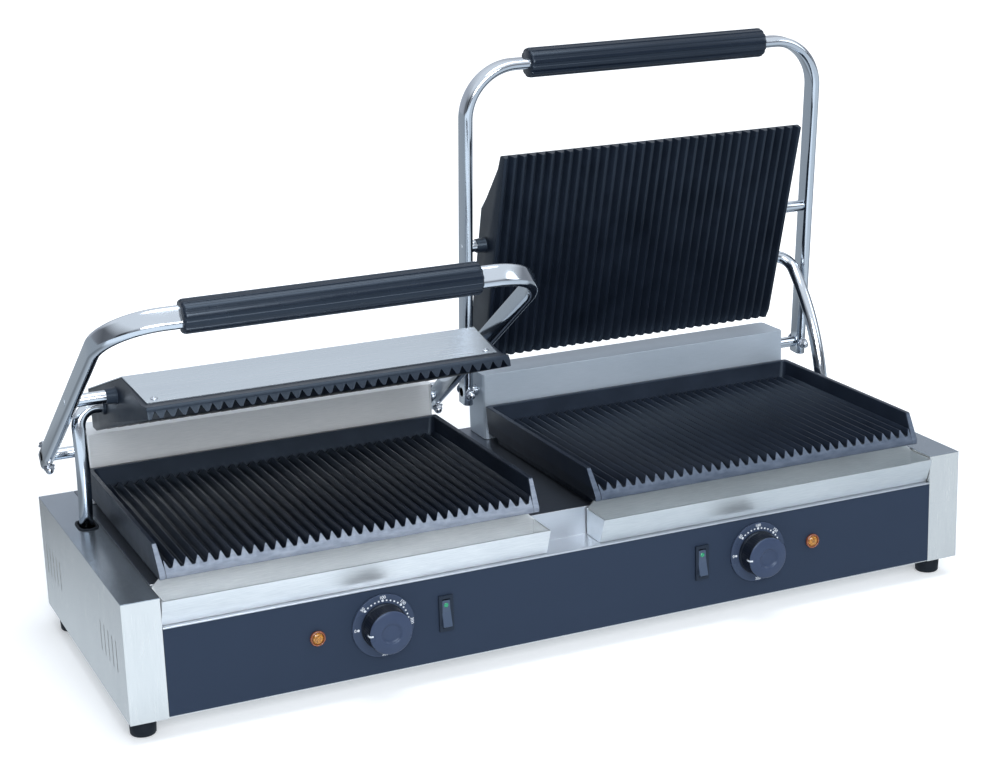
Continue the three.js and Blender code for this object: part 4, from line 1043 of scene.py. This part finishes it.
# The knob's outline as (distance from the panel, radius, share of the ribs)
KNOB_OUTLINE = [
    (2.6, 19.6, 0), (2.6, 20.5, 0), (3.0, 20.7, 0), (4.6, 20.7, 0), (5.0, 20.4, 0),
    (5.4, 19.9, 0.5), (6.4, 19.9, 1), (17.0, 19.8, 1), (19.0, 19.75, 1), (19.8, 19.5, 0.3),
    (20.3, 19.0, 0), (20.6, 18.4, 0), (20.95, 17.2, 0), (21.5, 14.8, 0), (22.0, 12.4, 0),
    (22.35, 10.6, 0), (22.45, 9.9, 0), (22.3, 9.3, 0), (21.5, 8.6, 0), (20.9, 7.8, 0),
    (20.5, 6.5, 0), (20.3, 4.5, 0), (20.3, 0.01, 0),
]
KNOB_MARK = [(15.8, 20.0), (17.4, 19.98), (19.1, 19.92), (19.95, 19.65), (20.45, 19.15),
             (20.75, 18.5), (21.2, 16.6)]
MARK_HALF_WIDTH = 0.75
MARK_LIFT = 0.35

LAMP_BEZEL = [(5.2, 0.3), (6.8, 0.3), (6.8, 2.2), (6.5, 2.9), (6.0, 3.2), (5.6, 3.1),
              (5.3, 2.6), (5.2, 1.6), (5.2, 0.3)]
LAMP_DOME = [(0, 0.3), (5.1, 0.3), (5.1, 2.0), (4.6, 2.7), (3.2, 3.3), (1.6, 3.6), (0, 3.7)]

# The rocker's side view in (y, z): flush at the top, curving out to a rounded lip at the bottom
ROCKER_FRONT = [(-1.2, 11.9), (-1.7, 10.8), (-1.9, 8.0), (-1.95, 4.5), (-2.2, 1.0), (-2.9, -2.5),
                (-3.8, -6.0), (-4.7, -9.0), (-5.2, -10.8), (-5.2, -11.6), (-4.7, -12.0),
                (-3.4, -11.9)]
ROCKER_BACK = [(1.5, -11.2), (4.0, -4.0), (4.0, 4.0), (1.5, 11.4)]
ROCKER_HALF_WIDTH = 4.2
ROCKER_HEIGHT = 24
ROCKER_ROUND = 0.35
WINDOW = [(0, 0), (2.1, 0), (2.1, 0.25), (1.8, 0.5), (0.9, 0.62), (0, 0.65)]
WINDOW_AXIS = (0, -1, 0.03)
WINDOW_PLACE = (0, -1.75, 7.6)


def control_frame(x, side):
    return Matrix.Translation(at(side * x, 0, CONTROL_Z))


def word(label):
    """The slightly raised outline of a printed number."""
    words = bpy.data.curves.new("words", "FONT")
    words.body = label
    words.size = NUMBER_SIZE
    words.align_x = "CENTER"
    words.align_y = "CENTER"
    words.extrude = NUMBER_RAISE
    words.offset = NUMBER_WEIGHT
    text = placed("words", words)
    bpy.context.view_layer.update()
    evaluated = text.evaluated_get(bpy.context.evaluated_depsgraph_get())
    mesh = bpy.data.meshes.new_from_object(evaluated)
    shape = ([vertex.co.copy() for vertex in mesh.vertices],
             [tuple(polygon.vertices) for polygon in mesh.polygons])
    bpy.data.objects.remove(text)
    bpy.data.meshes.remove(mesh)
    bpy.data.curves.remove(words)
    return shape


def number_turn(i, angle):
    """The 0 is upright. Round the top the numbers' feet point inwards, at the bottom outwards."""
    if i == 0:
        return 0.0
    return angle - pi / 2 if i < 5 else angle + pi / 2


def dial(name, side):
    matrix = control_frame(DIAL_X, side)
    disc = new_mesh(f"dial_disc_{name}", lathe(DIAL_PROFILE, FORWARD, ORIGIN, 96), DIAL, "base",
                    matrix, replaces=[f"dial_{name}"], slot="dial_black")
    soften(disc, 0.05)
    marks = []
    for i in (0, *range(DOTS_PER_NUMBER, DOT_COUNT)):
        angle = pi - i * DOT_STEP
        radius = LARGE_DOT if i % DOTS_PER_NUMBER == 0 else SMALL_DOT
        profile = [(0, DOT_BOTTOM), (radius, DOT_BOTTOM), (radius, DOT_TOP), (0, DOT_TOP)]
        place = (DOT_CIRCLE * cos(angle), 0, DOT_CIRCLE * sin(angle))
        marks.append(lathe(profile, FORWARD, place, 16))
    for i, label in enumerate(NUMBERS):
        angle = pi - i * DOTS_PER_NUMBER * DOT_STEP
        upright = Matrix.Rotation(-number_turn(i, angle), 4, "Y") @ Matrix.Rotation(pi / 2, 4, "X")
        place = Vector((NUMBER_CIRCLE * cos(angle), -NUMBER_FACE, NUMBER_CIRCLE * sin(angle)))
        verts, faces = word(label)
        marks.append(([place + upright @ vertex for vertex in verts], faces))
    new_mesh(f"dial_marks_{name}", merged(*marks), PRINT, "base", matrix, smooth=False)


def knob(name, side):
    count = KNOB_RIBS * KNOB_RIB_STEPS
    verts = []
    for depth, radius, share in KNOB_OUTLINE:
        for i, angle in enumerate(circle(count)):
            phase = i % KNOB_RIB_STEPS / KNOB_RIB_STEPS * 2 * pi
            r = radius - KNOB_RIB_DEPTH * share * (0.5 - 0.5 * cos(phase))
            verts.append((r * cos(angle), -depth, r * sin(angle)))
    matrix = control_frame(DIAL_X, side)
    new_mesh(f"knob_cap_{name}", (verts, grid_faces(len(KNOB_OUTLINE), count)), KNOB,
             f"knob_{name}", matrix, replaces=[f"knob_{name}"], slot="knob_black")
    half = MARK_HALF_WIDTH
    corners = ((-half, 0.0), (half, 0.0), (half, MARK_LIFT), (-half, MARK_LIFT))
    mark_verts = [(-radius + lift, -depth + lift, z)
                  for depth, radius in KNOB_MARK for z, lift in corners]
    new_mesh(f"knob_line_{name}", (mark_verts, turned_over(grid_faces(len(KNOB_MARK), 4))),
             PRINT, f"knob_{name}", matrix)


def lamp(name, side):
    matrix = control_frame(LAMP_X, side)
    new_mesh(f"lamp_ring_{name}", lathe(LAMP_BEZEL, FORWARD, ORIGIN, 48, closed_ends=False),
             AMBER_RING, "base", matrix, replaces=[f"pilot_lamp_{name}"], slot="amber_lens")
    new_mesh(f"lamp_lens_{name}", lathe(LAMP_DOME, FORWARD, ORIGIN, 48), AMBER, "base", matrix)


def rocker(name, side):
    outline = ROCKER_FRONT + ROCKER_BACK
    half = ROCKER_HALF_WIDTH
    verts = []
    for x, inset in ((-half, ROCKER_ROUND), (-half + ROCKER_ROUND, 0.0),
                     (half - ROCKER_ROUND, 0.0), (half, ROCKER_ROUND)):
        for y, z in outline:
            pull = inset if y < 0 else 0
            verts.append((x, y + pull, z * (1 - inset / ROCKER_HEIGHT)))
    matrix = control_frame(SWITCH_X, side)
    new_mesh(f"rocker_key_{name}", (verts, grid_faces(4, len(outline))), GLOSS, f"rocker_{name}",
             matrix, smooth=False, replaces=[f"rocker_{name}"], slot="rocker_black")
    new_mesh(f"rocker_window_{name}", lathe(WINDOW, WINDOW_AXIS, WINDOW_PLACE, 32), GREEN,
             f"rocker_{name}", matrix)


for name, lid in LIDS.items():
    dial(name, lid["side"])
    knob(name, lid["side"])
    lamp(name, lid["side"])
    rocker(name, lid["side"])


# Stage: floor, lights and camera
def greys(stops, blue=0.0):
    """A ramp's stops from (position, value), with a cool cast where blue is one."""
    return [(position, (value, value * (1 + 0.06 * blue), value * (1 + 0.18 * blue), 1.0))
            for position, value in stops]


WHITE = (1.0, 1.0, 1.0, 1.0)
COOL_WHITE = (0.86, 0.93, 1.0)
CEILING = (0.95, 1.0, 1.06, 1.0)

# What glossy rays see of the walls, from the back round the left, the front and the right
STUDIO_WALLS = greys([
    (0.0, 0.55), (0.08, 0.5), (0.13, 0.3), (0.2, 0.14), (0.28, 0.2), (0.31, 0.04),
    (0.345, 0.04), (0.375, 0.3), (0.47, 0.24), (0.53, 0.24), (0.6, 0.3), (0.63, 0.04),
    (0.66, 0.04), (0.69, 0.34), (0.78, 0.28), (0.86, 0.4), (0.92, 0.52), (1.0, 0.55),
], blue=1.0)
STUDIO_RISE = greys([(0.0, 0.0), (0.3, 0.0), (0.6, 1.0), (1.0, 1.0)])

# How bright glossy rays see the floor: behind the grill by distance, in front of it by X, with a
# turn from one to the other along Y. The glow that the camera sees grows with distance.
FLOOR_BEHIND = greys([(0.45, 0.75), (0.7, 0.3), (0.85, 0.34), (1.0, 0.48)])
FLOOR_IN_FRONT = ((-0.3, 0.55), (1.35, 0.9))
FLOOR_TURN = (-0.28, -0.08)
FLOOR_GLOW = ((0.35, 1.6), (0.2, 0.8))
FLOOR_SIZE = 12.0
FLOOR_WHITE = (0.93, 0.93, 0.94, 1.0)
FLOOR_MIRRORED = (0.80, 0.90, 1.0, 1.0)
ROOM_LIGHT = 0.55
SMOOTH = "SMOOTHSTEP"

# Lamps: name, place, target, width, height, watts, colour
LAMPS = [
    ("key", (-0.6, -2.9, 1.5), (0, 0, 0.2), 2.4, 1.4, 70, (0.97, 0.985, 1.0)),
    ("fill", (2.4, -1.4, 1.5), (0, 0, 0.15), 1.4, 1.6, 12, COOL_WHITE),
    ("top", (0.1, -0.5, 2.8), (0, 0, 0.15), 2.4, 1.6, 36, COOL_WHITE),
]

# The camera as it stood for the photo. Its place runs from the housing's lower left front corner.
# Its axes are rows that point right, up and backward.
FOCAL_PIXELS = 2078.43
PHOTO_WIDTH = 995.0
SENSOR_WIDTH = 36.0
CAMERA_PLACE = (-344.438, -1560.997, 730.734)
CAMERA_AXES = Matrix(((0.912029, -0.408955, -0.030958), (0.138961, 0.237119, 0.961491),
                      (-0.385866, -0.88121, 0.273088)))


def stage_floor():
    """A white floor. Reflections see it bright in front and fading to the left and the back."""
    mesh = bpy.data.meshes.new("floor")
    size = FLOOR_SIZE
    corners = [(-size, -size, 0), (size, -size, 0), (size, size, 0), (-size, size, 0)]
    mesh.from_pydata(corners, [], [(0, 1, 2, 3)])
    floor = placed("floor", mesh)
    finish = Finish("floor_white")
    finish.surface({"Base Color": FLOOR_WHITE, "Roughness": 0.9, "Specular IOR Level": 0.0})
    place = finish.parts(finish.place)
    distance = finish.add("VectorMath", {0: finish.place}, operation="LENGTH").outputs["Value"]
    growth = finish.mapped(distance, *FLOOR_GLOW, SMOOTH)
    strength = finish.maths("MULTIPLY", finish.seen(), growth)
    glow = finish.add("Emission", {"Strength": strength}).outputs["Emission"]
    lit = finish.add("AddShader", {0: finish.shader.outputs["BSDF"], 1: glow}).outputs["Shader"]
    behind = finish.ramp(distance, FLOOR_BEHIND)
    front = finish.mapped(place["X"], *FLOOR_IN_FRONT, SMOOTH)
    rear_share = finish.mapped(place["Y"], FLOOR_TURN, curve=SMOOTH)
    brightness = finish.between(rear_share, front, behind)
    mirrored = finish.add("Emission", {"Color": FLOOR_MIRRORED, "Strength": brightness})
    choice = finish.chosen(finish.ray("Is Glossy Ray"), lit, mirrored.outputs["Emission"])
    finish.feed(finish.tree.nodes["Material Output"], {"Surface": choice})
    mesh.materials.append(finish.material)


def world():
    """White behind the object. Glossy rays see soft grey walls and a light ceiling."""
    scene.world = bpy.data.worlds.new("studio")
    scene.world.use_nodes = True
    graph = Graph(scene.world.node_tree)
    graph.tree.nodes.clear()
    direction = graph.parts(graph.add("TexCoord").outputs["Generated"])
    azimuth = graph.maths("ARCTAN2", direction["X"], graph.maths("MULTIPLY", direction["Y"], -1.0))
    walls = graph.ramp(graph.mapped(azimuth, (-pi, pi)), STUDIO_WALLS)
    room = graph.tinted(graph.ramp(direction["Z"], STUDIO_RISE), walls, CEILING)
    light, mirrored, white = [
        graph.add("Background", {"Color": colour, "Strength": strength}).outputs["Background"]
        for colour, strength in ((COOL_WHITE + (1.0,), ROOM_LIGHT), (room, 1.0), (WHITE, 1.0))]
    unseen = graph.chosen(graph.ray("Is Glossy Ray"), light, mirrored)
    graph.add("OutputWorld", {"Surface": graph.chosen(graph.seen(), unseen, white)})


def area_light(name, place, target, width, height, power, colour):
    data = bpy.data.lights.new(name, "AREA")
    data.shape = "ELLIPSE"
    data.size = width
    data.size_y = height
    data.energy = power
    data.color = colour
    light = placed(name, data)
    light.location = place
    light.rotation_euler = (Vector(target) - Vector(place)).to_track_quat("-Z", "Y").to_euler()


def camera():
    data = bpy.data.cameras.new("camera")
    data.sensor_width = SENSOR_WIDTH
    data.lens = FOCAL_PIXELS / PHOTO_WIDTH * SENSOR_WIDTH
    eye = placed("camera", data)
    x, y, z = CAMERA_PLACE
    place = at(x - HOUSING_WIDTH / 2, y, z + FOOT_HEIGHT)
    eye.matrix_world = Matrix.Translation(place) @ CAMERA_AXES.transposed().to_4x4()
    scene.camera = eye


stage_floor()
world()
for settings in LAMPS:
    area_light(*settings)
camera()
scene.view_settings.view_transform = "Standard"
